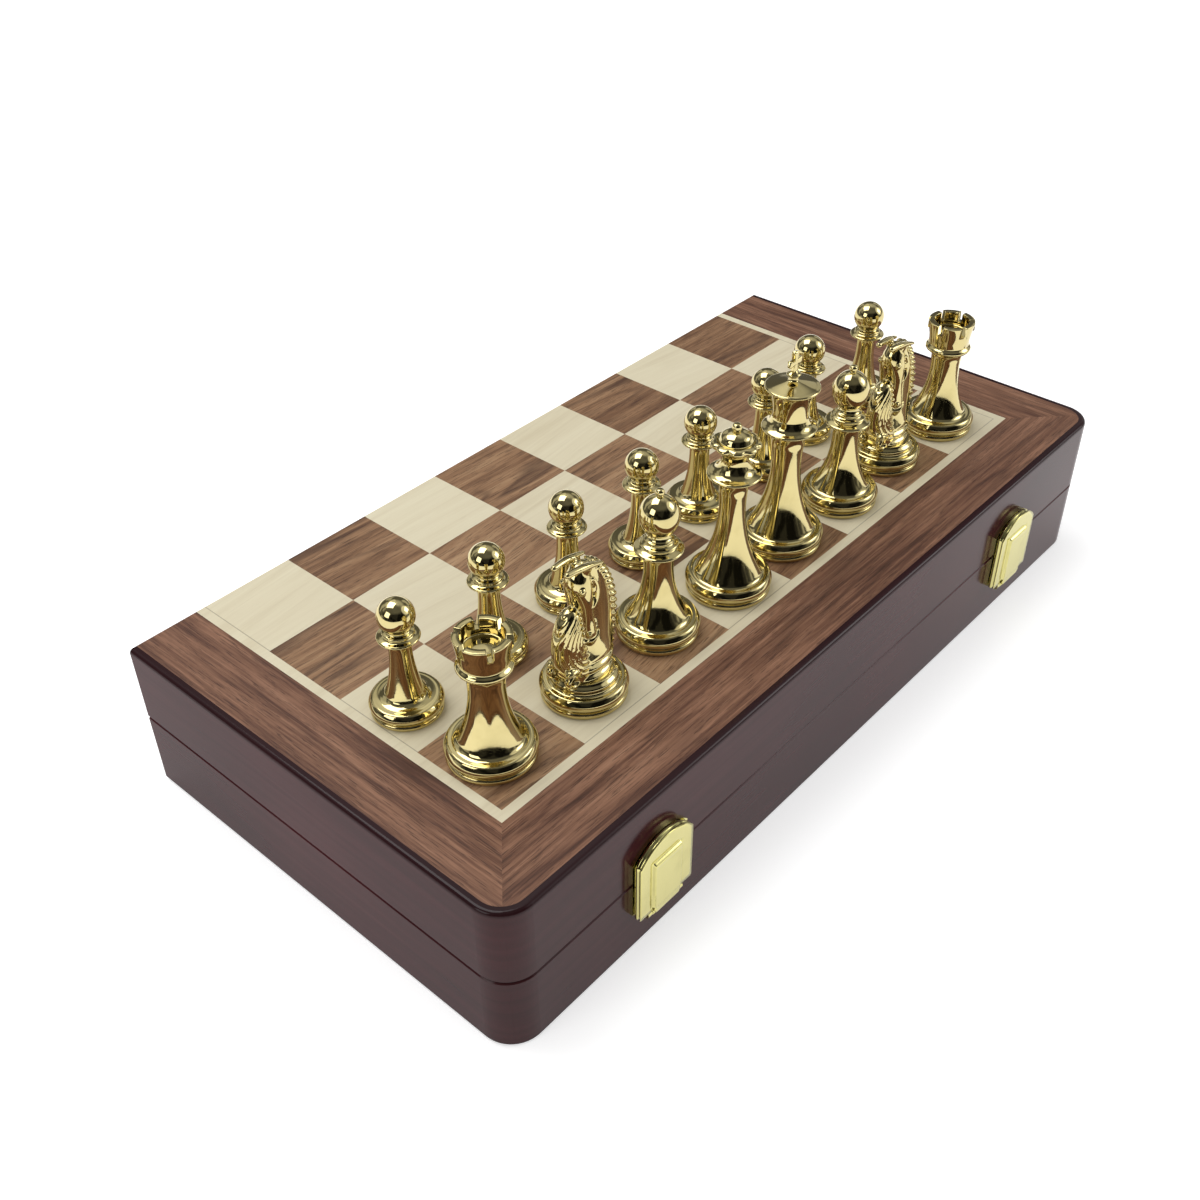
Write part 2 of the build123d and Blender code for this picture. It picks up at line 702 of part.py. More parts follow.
def rook():
    """Tower with a battlemented crown."""
    bowl_z = ROOK_TOP_Z - ROOK_BOWL
    bowl_r = ROOK_CROWN_R - ROOK_CROWN_WALL
    tower = turned(foot(ROOK_R, ROOK_BODY_R, RING_TALL, ROLL_TALL) + [
        (ROOK_WAIST_R, ROOK_WAIST_Z, -BODY_HOLLOW),
        (ROOK_COLLAR_R - ROOK_RIM, ROOK_COLLAR_Z - ROOK_RIM, -COLLAR_HOLLOW),
        (ROOK_COLLAR_R - ROOK_RIM, ROOK_COLLAR_Z + ROOK_RIM, HALF_ROUND),
        (ROOK_CROWN_FOOT_R, ROOK_COLLAR_Z + ROOK_RIM),
        (ROOK_CROWN_R, ROOK_TOP_Z, -TOWER_HOLLOW),
        (bowl_r, ROOK_TOP_Z),
        (bowl_r, bowl_z),
        (0, bowl_z + ROOK_BOWL_RISE, BOWL_SWELL),
    ])
    for number in range(NOTCHES):
        cutter = block((0, ROOK_R), (-NOTCH_WIDTH / 2, NOTCH_WIDTH / 2),
                       (ROOK_TOP_Z - NOTCH_TALL, ROOK_TOP_Z + NOTCH_TALL))
        tower -= Rot(0, 0, (number + 0.5) * 360 / NOTCHES) * cutter
    return one(tower)


def bishop():
    """Smooth drop-shaped head with a small bead, over two rings."""
    top_z = BISHOP_BALL_Z + BISHOP_BALL_R
    shoulder_r = BISHOP_BALL_R * BEAD_SEAT
    shoulder_z = BISHOP_BALL_Z + sqrt(BISHOP_BALL_R ** 2 - shoulder_r ** 2)
    return turned(foot(BISHOP_R, BISHOP_BODY_R, RING_TALL, ROLL_TALL) + [
        (BISHOP_WAIST_R, BISHOP_WAIST_Z, -BODY_HOLLOW),
        (BISHOP_COLLAR_R - BISHOP_RIM, BISHOP_COLLAR_Z - BISHOP_RIM, -COLLAR_HOLLOW),
        (BISHOP_COLLAR_R - BISHOP_RIM, BISHOP_COLLAR_Z + BISHOP_RIM, HALF_ROUND),
        (BISHOP_RING_R - 2 * BISHOP_RIM, BISHOP_RING_Z - BISHOP_RING_RIM),
        (BISHOP_RING_R - BISHOP_RING_RIM, BISHOP_RING_Z - BISHOP_RING_RIM),
        (BISHOP_RING_R - BISHOP_RING_RIM, BISHOP_RING_Z + BISHOP_RING_RIM, HALF_ROUND),
        (BISHOP_NECK_R, BISHOP_NECK_Z, -NECK_HOLLOW),
        (BISHOP_BALL_R, BISHOP_BALL_Z, DROP_SWELL),
        (shoulder_r, shoulder_z, *bead_foot(BISHOP_BEAD_R, top_z)),
        bead_top(BISHOP_BEAD_R, top_z),
    ])


def queen():
    """Lobed coronet with a domed top over a wide sloping collar."""
    crown_edge = QUEEN_CROWN_R - QUEEN_RIM
    crown_top = QUEEN_CROWN_Z + QUEEN_CROWN_TALL
    dome_z = crown_top - QUEEN_DOME_SINK
    dome_top = dome_z + QUEEN_DOME_RISE
    body = turned(foot(QUEEN_R, QUEEN_BODY_R, RING_TALL, ROLL_TALL) + [
        (QUEEN_WAIST_R, QUEEN_WAIST_Z, -BODY_HOLLOW),
        (QUEEN_COLLAR_R - QUEEN_RIM, QUEEN_COLLAR_Z - QUEEN_RIM, -COLLAR_HOLLOW),
        (QUEEN_COLLAR_R - QUEEN_RIM, QUEEN_COLLAR_Z + QUEEN_RIM, HALF_ROUND),
        (QUEEN_NECK_R, QUEEN_NECK_Z, -SLOPE_HOLLOW),
        (crown_edge, QUEEN_CROWN_Z, -CROWN_HOLLOW),
        (crown_edge, crown_top, HALF_ROUND),
        (QUEEN_DOME_R, dome_z, -SLOPE_HOLLOW),
        (*bead_foot(QUEEN_BEAD_R, dome_top), DOME_SWELL),
        bead_top(QUEEN_BEAD_R, dome_top),
    ])
    out = QUEEN_CROWN_R + QUEEN_SCALLOP_R - QUEEN_SCALLOP_DEEP
    for number in range(QUEEN_LOBES):
        turn = 2 * pi * number / QUEEN_LOBES
        body -= rod((out * cos(turn), out * sin(turn), QUEEN_CROWN_Z - 2 * QUEEN_CROWN_TALL),
                    QUEEN_SCALLOP_R, 4 * QUEEN_CROWN_TALL, (0, 0, 1))
    return one(body)


def cross():
    """The small cross on the king, with its arms along the back row."""
    foot_z = KING_STEM_RING_Z
    upright = block((-CROSS_WIDTH / 2, CROSS_WIDTH / 2), (-CROSS_THICK / 2, CROSS_THICK / 2),
                    (foot_z, KING_TOP_Z))
    arms = block((-CROSS_HALF, CROSS_HALF), (-CROSS_THICK / 2, CROSS_THICK / 2),
                 (CROSS_ARM_Z - CROSS_WIDTH / 2, CROSS_ARM_Z + CROSS_WIDTH / 2))
    return upright + arms


def king():
    """Drum crown with a flat cone cap and a cross, over a wide sloping collar."""
    crown_edge = KING_CROWN_R - KING_RIM
    crown_top = KING_CROWN_Z + KING_CROWN_TALL
    ring_edge = KING_STEM_RING_R - KING_STEM_RIM
    body = turned(foot(KING_R, KING_BODY_R, RING_TALL, ROLL_TALL) + [
        (KING_WAIST_R, KING_WAIST_Z, -BODY_HOLLOW),
        (KING_COLLAR_R - KING_RIM, KING_COLLAR_Z - KING_RIM, -COLLAR_HOLLOW),
        (KING_COLLAR_R - KING_RIM, KING_COLLAR_Z + KING_RIM, HALF_ROUND),
        (KING_NECK_R, KING_NECK_Z, -SLOPE_HOLLOW),
        (KING_DRUM_R, KING_CROWN_Z, -DRUM_HOLLOW),
        (crown_edge, KING_CROWN_Z + KING_RIM / 2, -NECK_HOLLOW),
        (crown_edge, crown_top, HALF_ROUND),
        (KING_STEM_R, crown_top + KING_CAP_RISE),
        (KING_STEM_R, KING_STEM_RING_Z - KING_STEM_RIM),
        (ring_edge, KING_STEM_RING_Z - KING_STEM_RIM),
        (ring_edge, KING_STEM_RING_Z + KING_STEM_RIM, HALF_ROUND),
        (0, KING_STEM_RING_Z + 2 * KING_STEM_RIM),
    ])
    return one(body + cross())


# Knight
def step_top():
    """Top of the round step that the horse stands on."""
    return RING_TALL + GROOVE_TALL + ROLL_TALL + CONE_RISE + KNIGHT_STEP_TALL


def horse_side():
    """The horse seen along X with its breast towards +Y: crest, breast, tucked head and laid-back ear."""
    low = step_top()
    edges = [
        ThreePointArc((-KNIGHT_EAR_Y, KNIGHT_POLL_Z), (-KNIGHT_NAPE_Y, KNIGHT_NAPE_Z),
                      (-KNIGHT_CREST_Y, KNIGHT_CREST_Z)),
        Line((-KNIGHT_CREST_Y, KNIGHT_CREST_Z), (-KNIGHT_FOOT_BACK_Y, low)),
        Line((-KNIGHT_FOOT_BACK_Y, low), (KNIGHT_FOOT_FRONT_Y, low)),
        ThreePointArc((KNIGHT_FOOT_FRONT_Y, low), (KNIGHT_CHEST_Y, KNIGHT_CHEST_Z),
                      (KNIGHT_CHIN_Y, KNIGHT_CHIN_Z)),
        Line((KNIGHT_CHIN_Y, KNIGHT_CHIN_Z), (KNIGHT_THROAT_Y, KNIGHT_THROAT_Z)),
        ThreePointArc((KNIGHT_THROAT_Y, KNIGHT_THROAT_Z), (KNIGHT_FACE_Y, KNIGHT_FACE_Z),
                      (KNIGHT_POLL_Y, KNIGHT_POLL_Z)),
        Line((KNIGHT_POLL_Y, KNIGHT_POLL_Z), (-KNIGHT_EAR_Y, KNIGHT_EAR_Z)),
        Line((-KNIGHT_EAR_Y, KNIGHT_EAR_Z), (-KNIGHT_EAR_Y, KNIGHT_POLL_Z)),
    ]
    return extrude(Plane.YZ * make_face(edges), amount=KNIGHT_R, both=True)


def horse_front():
    """The horse seen along Y: wide at the foot, narrow at the throat, with two ears."""
    low = step_top()
    right = [
        ThreePointArc((KNIGHT_FOOT_HALF, low), (KNIGHT_CHEST_HALF, KNIGHT_CHEST_Z),
                      (KNIGHT_THROAT_HALF, KNIGHT_THROAT_Z)),
        ThreePointArc((KNIGHT_THROAT_HALF, KNIGHT_THROAT_Z), (KNIGHT_JAW_HALF, KNIGHT_FACE_Z),
                      (KNIGHT_POLL_HALF, KNIGHT_POLL_Z)),
        Line((KNIGHT_POLL_HALF, KNIGHT_POLL_Z), (KNIGHT_EAR_HALF, KNIGHT_EAR_Z)),
        Line((KNIGHT_EAR_HALF, KNIGHT_EAR_Z), (0, KNIGHT_EAR_Z - KNIGHT_EAR_NOTCH)),
    ]
    left = [edge.mirror(Plane.YZ) for edge in right]
    base_line = Line((KNIGHT_FOOT_HALF, low), (-KNIGHT_FOOT_HALF, low))
    return extrude(Plane.XZ * make_face([*right, *left, base_line]), amount=2 * KNIGHT_R, both=True)


def knight():
    """Horse's head and neck on a stepped foot and plinth."""
    base = turned(foot(KNIGHT_R, KNIGHT_STEP_R, RING_TALL, ROLL_TALL) + [
        (KNIGHT_STEP_R, step_top(), -PLINTH_HOLLOW),
        (KNIGHT_PLINTH_R, step_top()),
        (KNIGHT_PLINTH_R, KNIGHT_PLINTH_Z, -PLINTH_HOLLOW),
        (0, KNIGHT_PLINTH_Z),
    ])
    return one(base + (horse_side() & horse_front()))


# Armies
def gold_place(name):
    """The spot on the upper board face where a gold piece stands."""
    column, row, over_x, over_y = PLACES[name]
    x = BOARD_X + (column + 0.5) * SQUARE + over_x
    y = BOARD_Y + (row + 0.5) * SQUARE + over_y
    return Pos(x, y, TOP_Z) * Rot(0, 0, KNIGHT_TURN if "knight" in name else 0)


def stowed(shape, number, base_r, base_y):
    """A silver piece lying on its side in the lower tray, head to the front."""
    tray_z = 2 * PARTING_Z - (PANEL_Z - PAD)
    return Pos(cell_middle(number), base_y, tray_z + base_r + STOWED_LIFT) * Rot(90, 0, 0) * shape


def silver_army(shapes, radii):
    """The other army in its compartments, gathered by kind."""
    back_base = divider_back() - LONG_DIVIDER - STOWED_END_GAP
    pawn_base = ROOM_BACK - TRAY_GAP - STOWED_END_GAP
    nodes = {}
    for number, kind in enumerate(BACK_ROW):
        nodes.setdefault(kind, []).append(stowed(shapes[kind], number, radii[kind], back_base))
        nodes.setdefault("pawn", []).append(stowed(shapes["pawn"], number, radii["pawn"], pawn_base))
    return {"silver_" + kind + "s" * (len(found) > 1): group(found) for kind, found in nodes.items()}


def whole_set():
    """Every node of the set by name."""
    nodes = {}
    face = {"border": border(), "stringing": stringing(), "panel": panel(), "tray_pad": tray_pad(),
            "tray_dividers": tray_dividers(), "hinge_screws": hinge_screws()}
    for name, rail in zip(("front_rail", "back_rail", "left_rail", "right_rail"), rails()):
        face[name] = rail
    for name, shape in face.items():
        nodes["upper_" + name] = shape
        nodes["lower_" + name] = to_lower(shape)
    even, odd = squares(0), squares(1)
    nodes["upper_dark_squares"] = even
    nodes["upper_light_squares"] = odd
    nodes["lower_dark_squares"] = to_lower(odd)
    nodes["lower_light_squares"] = to_lower(even)
    for side, name in ((-1, "left"), (1, "right")):
        nodes[name + "_hinge_upper_leaf"] = leaf(side * HINGE_X, (0, 2), (1,))
        nodes[name + "_hinge_lower_leaf"] = to_lower(leaf(side * HINGE_X, (1,), (0, 2)))
        nodes[name + "_clasp_keeper"] = keeper_plate(side * CLASP_X)
        nodes[name + "_clasp_pivot_plate"] = pivot_plate(side * CLASP_X)
        nodes[name + "_clasp_cover"] = cover(side * CLASP_X)
    nodes["hinge_pins"] = hinge_pins()
    nodes["clasp_pins"] = clasp_pins()
    nodes["clasp_keeper_nails"] = clasp_nails(PARTING_Z + NAIL_OFF_PARTING)
    nodes["clasp_pivot_nails"] = clasp_nails(PARTING_Z - NAIL_OFF_PARTING)
    shapes = {"pawn": pawn(), "rook": rook(), "knight": knight(), "bishop": bishop(),
              "queen": queen(), "king": king()}
    radii = {"pawn": PAWN_R, "rook": ROOK_R, "knight": KNIGHT_R, "bishop": BISHOP_R,
             "queen": QUEEN_R, "king": KING_R}
    for name in PLACES:
        nodes[name] = gold_place(name) * shapes[name.split("_")[1]]
    nodes.update(silver_army(shapes, radii))
    return nodes


def main():
    """Write every node to its own file."""
    os.makedirs("parts", exist_ok=True)
    nodes = whole_set()
    for name, shape in nodes.items():
        export_step(shape, "parts/" + name + ".step")
    print(len(nodes), "nodes, case", LENGTH, "by", DEPTH, "by", CASE_HEIGHT)


main()
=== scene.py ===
# %% [markdown]
# # A folding chess set, closed, with the gold-coloured army set out on top
#
# The solid model gives every piece its size and place. This lesson loads it as a fixed frame and
# dresses it: veneers and lacquer for the case, and finely turned, polished metal for the pieces.
# Lengths in the tables are in millimetres and become metres when they go into a mesh.

import bpy
import numpy as np
from mathutils import Matrix, Vector


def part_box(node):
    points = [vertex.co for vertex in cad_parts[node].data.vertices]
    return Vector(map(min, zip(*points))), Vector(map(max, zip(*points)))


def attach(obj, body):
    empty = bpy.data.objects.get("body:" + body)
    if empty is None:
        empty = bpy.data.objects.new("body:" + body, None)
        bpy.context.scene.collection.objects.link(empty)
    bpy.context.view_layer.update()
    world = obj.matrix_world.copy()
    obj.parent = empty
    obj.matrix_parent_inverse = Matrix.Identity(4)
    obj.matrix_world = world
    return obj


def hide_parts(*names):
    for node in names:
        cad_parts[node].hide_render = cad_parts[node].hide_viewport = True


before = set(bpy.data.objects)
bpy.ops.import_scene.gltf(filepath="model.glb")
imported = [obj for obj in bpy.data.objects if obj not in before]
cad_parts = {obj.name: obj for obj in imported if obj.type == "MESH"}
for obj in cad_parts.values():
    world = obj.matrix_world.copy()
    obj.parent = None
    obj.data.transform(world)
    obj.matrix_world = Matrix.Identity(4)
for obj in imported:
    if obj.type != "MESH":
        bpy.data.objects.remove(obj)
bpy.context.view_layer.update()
MM = 0.001
print("nodes in the frame:", len(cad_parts))

# %% [markdown]
# ## Camera
#
# The photograph looks down on the front left corner of the case. Its camera was worked out from the
# corners of the chequered squares, so the turn below is the camera's own right, up and back
# directions. They are the columns of a turning matrix, which avoids any juggling with angles.

# %% Place the camera
CAMERA_PLACE = (-0.2799, -0.2231, 0.3021)
CAMERA_RIGHT = (0.662592, -0.748905, -0.010651)
CAMERA_UP = (0.470327, 0.404969, 0.784087)
CAMERA_BACK = (-0.582894, -0.524539, 0.620559)
LENS_MM = 40.71
camera_data = bpy.data.cameras.new("camera")
camera_data.lens = LENS_MM
camera_data.sensor_width = 36.0
camera_data.clip_start = 0.01
camera = bpy.data.objects.new("camera", camera_data)
bpy.context.scene.collection.objects.link(camera)
turn = Matrix((CAMERA_RIGHT, CAMERA_UP, CAMERA_BACK)).transposed().to_4x4()
camera.matrix_world = Matrix.Translation(CAMERA_PLACE) @ turn
bpy.context.scene.camera = camera
bpy.context.scene.view_settings.view_transform = "Standard"
print("camera", LENS_MM, "mm")

# %% [markdown]
# ## Sums that build shaders
#
# A pattern is arithmetic on coordinates. Adding Math nodes by hand hides that, so a small class
# wraps a node's socket and turns Python's operators into nodes. Every other node comes from one
# method that takes its type, its settings and what goes into its sockets.


# %% Numbers from sockets
class Sum:
    """A number that comes out of a node, ready to be used with + - * / and compared."""

    def __init__(self, graph, socket):
        self.graph = graph
        self.socket = socket

    def maths(self, operation, *values):
        return self.graph.node("ShaderNodeMath", {"operation": operation}, values)

    def __add__(self, other):
        return self.maths("ADD", self, other)

    def __sub__(self, other):
        return self.maths("SUBTRACT", self, other)

    def __rsub__(self, other):
        return self.maths("SUBTRACT", other, self)

    def __mul__(self, other):
        return self.maths("MULTIPLY", self, other)

    def __truediv__(self, other):
        return self.maths("DIVIDE", self, other)

    def __gt__(self, other):
        return self.maths("GREATER_THAN", self, other)

    __radd__ = __add__
    __rmul__ = __mul__

    def __abs__(self):
        return self.maths("ABSOLUTE", self)

    def sign(self):
        return self.maths("SIGN", self)

    def floor(self):
        return self.maths("FLOOR", self)

    def clamp(self, low, high):
        return self.maths("MINIMUM", self.maths("MAXIMUM", self, low), high)

    def ease(self, low, high):
        """0 below low, 1 above high, and a smooth rise between."""
        settings = {"interpolation_type": "SMOOTHSTEP"}
        return self.graph.node("ShaderNodeMapRange", settings, {"Value": self, 1: low, 2: high})


print("numbers: + - * / > abs, sign, floor, clamp and ease")


# %% Graphs of nodes
class Graph:
    """The nodes of one material or world."""

    def __init__(self, tree):
        self.tree = tree
        tree.nodes.clear()

    def node(self, kind, settings=None, values=(), out=0):
        """Add a node, set it up, fill its sockets with numbers or links, and give one output."""
        node = self.tree.nodes.new(kind)
        for key, value in (settings or {}).items():
            if key == "stops":
                ramp = node.color_ramp
                while len(ramp.elements) < len(value):
                    ramp.elements.new(0.5)
                for stop, (place, colour) in zip(ramp.elements, value):
                    stop.position = place
                    stop.color = (*colour, 1.0)
            else:
                setattr(node, key, value)
        pairs = values.items() if isinstance(values, dict) else enumerate(values)
        for key, value in pairs:
            if isinstance(value, Sum):
                self.tree.links.new(value.socket, node.inputs[key])
            else:
                node.inputs[key].default_value = value
        return Sum(self, node.outputs[out]) if node.outputs else None

    def ramp(self, value, *stops):
        """A colour from a number, read between stops of (place, colour)."""
        return self.node("ShaderNodeValToRGB", {"stops": stops}, [value])

    def mix(self, amount, first, second):
        """Blend two colours by an amount."""
        return self.node("ShaderNodeMix", {"data_type": "RGBA"}, {0: amount, 6: first, 7: second}, out=2)

    def vector(self, operation, *values):
        return self.node("ShaderNodeVectorMath", {"operation": operation}, values)

    def toward(self, direction, axis):
        """How much a direction points along an axis: 1 straight along it, -1 straight away."""
        return self.node("ShaderNodeVectorMath", {"operation": "DOT_PRODUCT"}, [direction, axis], out=1)

    def split(self, vector):
        """The X, Y and Z of a vector."""
        return [self.node("ShaderNodeSeparateXYZ", {}, [vector], out=n) for n in range(3)]

    def join(self, *parts):
        return self.node("ShaderNodeCombineXYZ", {}, parts)

    def noise(self, vector, size, detail, roughness=0.5, distortion=0.0):
        """Soft random blotches about 1 / size across, in the units of the vector."""
        values = {"Vector": vector, "Scale": size, "Detail": detail, "Roughness": roughness,
                  "Distortion": distortion}
        return self.node("ShaderNodeTexNoise", {}, values)

    def place(self):
        """Where the point is in the object's own frame, in millimetres."""
        coordinates = self.node("ShaderNodeTexCoord", {}, (), out=3)
        return self.vector("MULTIPLY", coordinates, (1000.0, 1000.0, 1000.0))

    def bump(self, height, distance_mm, strength):
        return self.node("ShaderNodeBump", {}, {"Strength": strength, "Distance": distance_mm * MM,
                                                "Height": height})

    def finish(self, **values):
        """End in a Principled surface whose sockets are named with underscores."""
        named = {key.replace("_", " "): value for key, value in values.items()}
        surface = self.node("ShaderNodeBsdfPrincipled", {}, named)
        self.node("ShaderNodeOutputMaterial", {}, [surface])


def new_material(name):
    material = bpy.data.materials.new(name)
    material.use_nodes = True
    return material, Graph(material.node_tree)


print("graphs: one method for any node, short names for the common ones")

# %% [markdown]
# ## Walnut and maple veneer
#
# Veneer is a thin slice along the trunk, so its pattern is long streaks: broad bands of colour from
# the growth rings, fine lines, and short dark pores. Noise that is squeezed across the grain and
# stretched along it gives all three. Each square was cut from another place in the sheet, so its
# row and column numbers shift the pattern and change its tone a little.

# %% Sizes of the board
SQUARE = 31.0  # side of one square
BOARD_X = -124.0  # left edge of the squares
BOARD_Y = -49.0  # front edge of the squares
SEAM = 0.3  # width of a glue line
PARTING_Z = 26.0  # height where the two halves of the case meet
print("squares from", BOARD_X, "to", -BOARD_X, "mm,", SQUARE, "mm each")


# %% Grain patterns
JUMP_ALONG = 900.0  # how far apart in the sheet two squares may have been cut, along the grain
JUMP_ACROSS = 700.0  # the same across the grain
ASKEW = 0.22  # how much the grain of one square may lean
THROUGH = 3.0  # the pattern is this much finer through the thickness


def grain_place(graph, shift=None):
    """The place with the grain along X. A random shift moves it and leans it a little."""
    x, y, z = graph.split(graph.place())
    if shift is not None:
        jump_x, jump_y, jump_z = graph.split(shift)
        x = x + jump_x * JUMP_ALONG
        y = y + jump_y * JUMP_ACROSS + x * (jump_z - 0.5) * ASKEW
    return graph.join(x, y, z * THROUGH)


def square_chance(graph):
    """A random colour that is the same all over one square of the board."""
    x, y, z = graph.split(graph.place())
    column = ((x - BOARD_X) / SQUARE).floor()
    row = ((y - BOARD_Y) / SQUARE).floor()
    cell = graph.join(column, row, (z / PARTING_Z).floor())
    return graph.node("ShaderNodeTexWhiteNoise", {"noise_dimensions": "3D"}, [cell], out=1)


def streaks(graph, place, along, across, *character):
    """Noise drawn out along the grain: its place is scaled much less along it than across it."""
    return graph.noise(graph.vector("MULTIPLY", place, (along, across, across)), 1.0, *character)


def wood_streaks(graph, place):
    """Three layers of streaks between 0 and 1: broad bands, fine lines and pores."""
    bands = streaks(graph, place, 0.012, 0.16, 4.0, 0.55, 1.1)
    lines = streaks(graph, place, 0.03, 1.1, 5.0, 0.65, 0.3)
    pores = streaks(graph, place, 0.16, 3.4, 2.0, 0.6)
    return bands, lines, pores


def growth_rings(graph, place, count):
    """Soft dark flames: where a slow noise passes through evenly spaced heights, like the contour
    lines of a map drawn out along the grain. They come and go along the sheet."""
    steps = streaks(graph, place, 0.0075, 0.062, 1.5, 0.5, 0.35) * count
    away = abs(steps - steps.floor() - 0.5) * 2.0
    patches = streaks(graph, place, 0.016, 0.06, 1.0)
    return away.ease(0.45, 0.98) * patches.ease(0.38, 0.62)


print("grain patterns: bands, lines, pores and growth rings")

# %% Walnut squares
WALNUT_STOPS = ((0.30, (0.100, 0.046, 0.024)), (0.41, (0.190, 0.098, 0.049)),
                (0.50, (0.275, 0.153, 0.079)), (0.60, (0.350, 0.208, 0.110)),
                (0.74, (0.440, 0.280, 0.155)))
PORE_BROWN = (0.042, 0.018, 0.012, 1.0)
PORE_DEPTH = 0.66  # how much of the pore colour an open pore shows


def walnut_finish(graph, place, stops, rings, ring_depth, tone_shift=0.0):
    """Brown veneer with bands, growth rings and open pores under a thin satin finish."""
    bands, lines, pores = wood_streaks(graph, place)
    tone = bands * 0.52 + lines * 0.48 + tone_shift
    open_pores = pores.ease(0.55, 0.66)
    ring_amount = growth_rings(graph, place, rings) * ring_depth
    colour = graph.mix(ring_amount, graph.ramp(tone, *stops), PORE_BROWN)
    colour = graph.mix(open_pores * PORE_DEPTH, colour, PORE_BROWN)
    graph.finish(Base_Color=colour, Roughness=0.42 + lines * 0.16, Coat_Weight=0.12,
                 Coat_Roughness=0.25, Specular_IOR_Level=0.25,
                 Normal=graph.bump(lines * 0.5 + (1.0 - open_pores), 0.035, 0.5))


def walnut_squares():
    """Each square takes its own place in the sheet and its own tone, a little up or down."""
    material, graph = new_material("walnut_squares")
    chance = square_chance(graph)
    tone_shift = (graph.split(chance)[0] - 0.5) * 0.11
    walnut_finish(graph, grain_place(graph, chance), WALNUT_STOPS, 9.0, 0.62, tone_shift)
    return material


WALNUT_SQUARES = walnut_squares()
print("veneer:", WALNUT_SQUARES.name)

# %% Maple squares and line
MAPLE_STOPS = ((0.32, (0.610, 0.535, 0.370)), (0.50, (0.675, 0.606, 0.432)),
               (0.70, (0.720, 0.658, 0.480)))
FLECK_TAN = (0.45, 0.36, 0.23, 1.0)
GLUE_DEPTH = 0.42  # how much of the pore colour the glue line shows


def maple(name, per_square):
    """Pale veneer, nearly plain, with faint streaks and small flecks, and on the squares a fine glue
    line where they meet the pale line round the board."""
    material, graph = new_material(name)
    shift = square_chance(graph) if per_square else None
    bands, lines, flecks = wood_streaks(graph, grain_place(graph, shift))
    tone = bands * 0.6 + lines * 0.4
    seam = 0.0
    if per_square:
        tone = tone + (graph.split(shift)[0] - 0.5) * 0.10
        x, y, _ = graph.split(graph.place())
        past_side = abs(x) > -BOARD_X - SEAM
        past_front = (BOARD_Y + SEAM) - y > 0.0
        seam = (past_side + past_front).clamp(0.0, GLUE_DEPTH)
    colour = graph.mix(flecks.ease(0.62, 0.75) * 0.16, graph.ramp(tone, *MAPLE_STOPS), FLECK_TAN)
    colour = graph.mix(seam, colour, PORE_BROWN)
    graph.finish(Base_Color=colour, Roughness=0.42 + lines * 0.12, Coat_Weight=0.15,
                 Coat_Roughness=0.28, Specular_IOR_Level=0.3, Normal=graph.bump(lines, 0.02, 0.4))
    return material


MAPLE_SQUARES = maple("maple_squares", True)
MAPLE_LINE = maple("maple_line", False)
print("veneers:", MAPLE_SQUARES.name, MAPLE_LINE.name)

# %% Mitred border
BORDER_STOPS = ((0.32, (0.048, 0.018, 0.010)), (0.42, (0.105, 0.044, 0.026)),
                (0.50, (0.180, 0.084, 0.048)), (0.58, (0.265, 0.132, 0.078)),
                (0.70, (0.370, 0.205, 0.125)))
MITRE = 75.0  # |x| + y all along the mitre, which runs in from the front corner at (150, -75)
END_JUMP = 200.0  # sets the two end strips apart in the sheet


def border_walnut():
    """The wide border: its grain follows each strip, so it turns at the mitred front corners."""
    material, graph = new_material("walnut_border")
    x, y, z = graph.split(graph.place())
    on_end = (abs(x) + y) > MITRE
    front_place = graph.join(x, y, z * THROUGH)
    end_place = graph.join(y + x.sign() * END_JUMP, x, z * THROUGH)
    place = graph.node("ShaderNodeMix", {"data_type": "VECTOR"},
                       {0: on_end, 4: front_place, 5: end_place}, out=1)
    walnut_finish(graph, place, BORDER_STOPS, 7.0, 0.32)
    return material


WALNUT_BORDER = border_walnut()
print("veneer:", WALNUT_BORDER.name)

# %% [markdown]
# ## Lacquered rails
#
# The sides are stained almost black-red and carry a thick clear lacquer. The stain is the base
# colour with a faint grain, and the lacquer is the Principled shader's coat, which mirrors the
# room at a slant while the colour below stays dark.


# %% Lacquer
# The near black that paints shade along the rounded top and bottom edges of the case.
EDGE_SHADE_BROWN = (0.010, 0.004, 0.005, 1.0)
LEFT_END = (-151.0, -138.0)  # x over which the lacquer gets thicker, away from the left end
RIGHT_HALF = (0.0, 135.0)  # x over which it gets thicker again
EDGE_SHADE_AWAY = (24.0, 25.7)  # distance from the parting over which painted shade darkens the stain towards the edges


def lacquer():
    """Nearly black stain, darkened towards the rounded top and bottom edges as painted shade, under one
    clear coat that was rubbed thinner on the left end."""
    material, graph = new_material("mahogany_lacquer")
    place = graph.place()
    x, _, z = graph.split(place)
    grain = graph.noise(graph.vector("MULTIPLY", place, (0.015, 0.015, 0.35)), 1.0, 4.0, 0.55, 0.4)
    cloud = graph.noise(place, 0.018, 2.0, 0.5)
    stain = graph.ramp(grain * 0.4 + cloud * 0.6, (0.35, (0.040, 0.011, 0.012)),
                       (0.52, (0.056, 0.014, 0.016)), (0.70, (0.076, 0.020, 0.022)))
    # Painted shade: the stain is darkened towards the top and bottom edges of the case.
    edge = abs(z - PARTING_Z).ease(*EDGE_SHADE_AWAY)
    stain = graph.mix(edge * 0.75, stain, EDGE_SHADE_BROWN)
    ripple = graph.noise(place, 0.05, 3.0, 0.5)
    coat = 0.38 + x.ease(*LEFT_END) * 0.13 + x.ease(*RIGHT_HALF) * 0.20
    graph.finish(Base_Color=stain, Roughness=0.42, Specular_IOR_Level=0.0, Coat_Weight=coat,
                 Coat_Roughness=0.16, Normal=graph.bump(ripple, 0.05, 0.3))
    return material


LACQUER = lacquer()
print("case finish:", LACQUER.name)

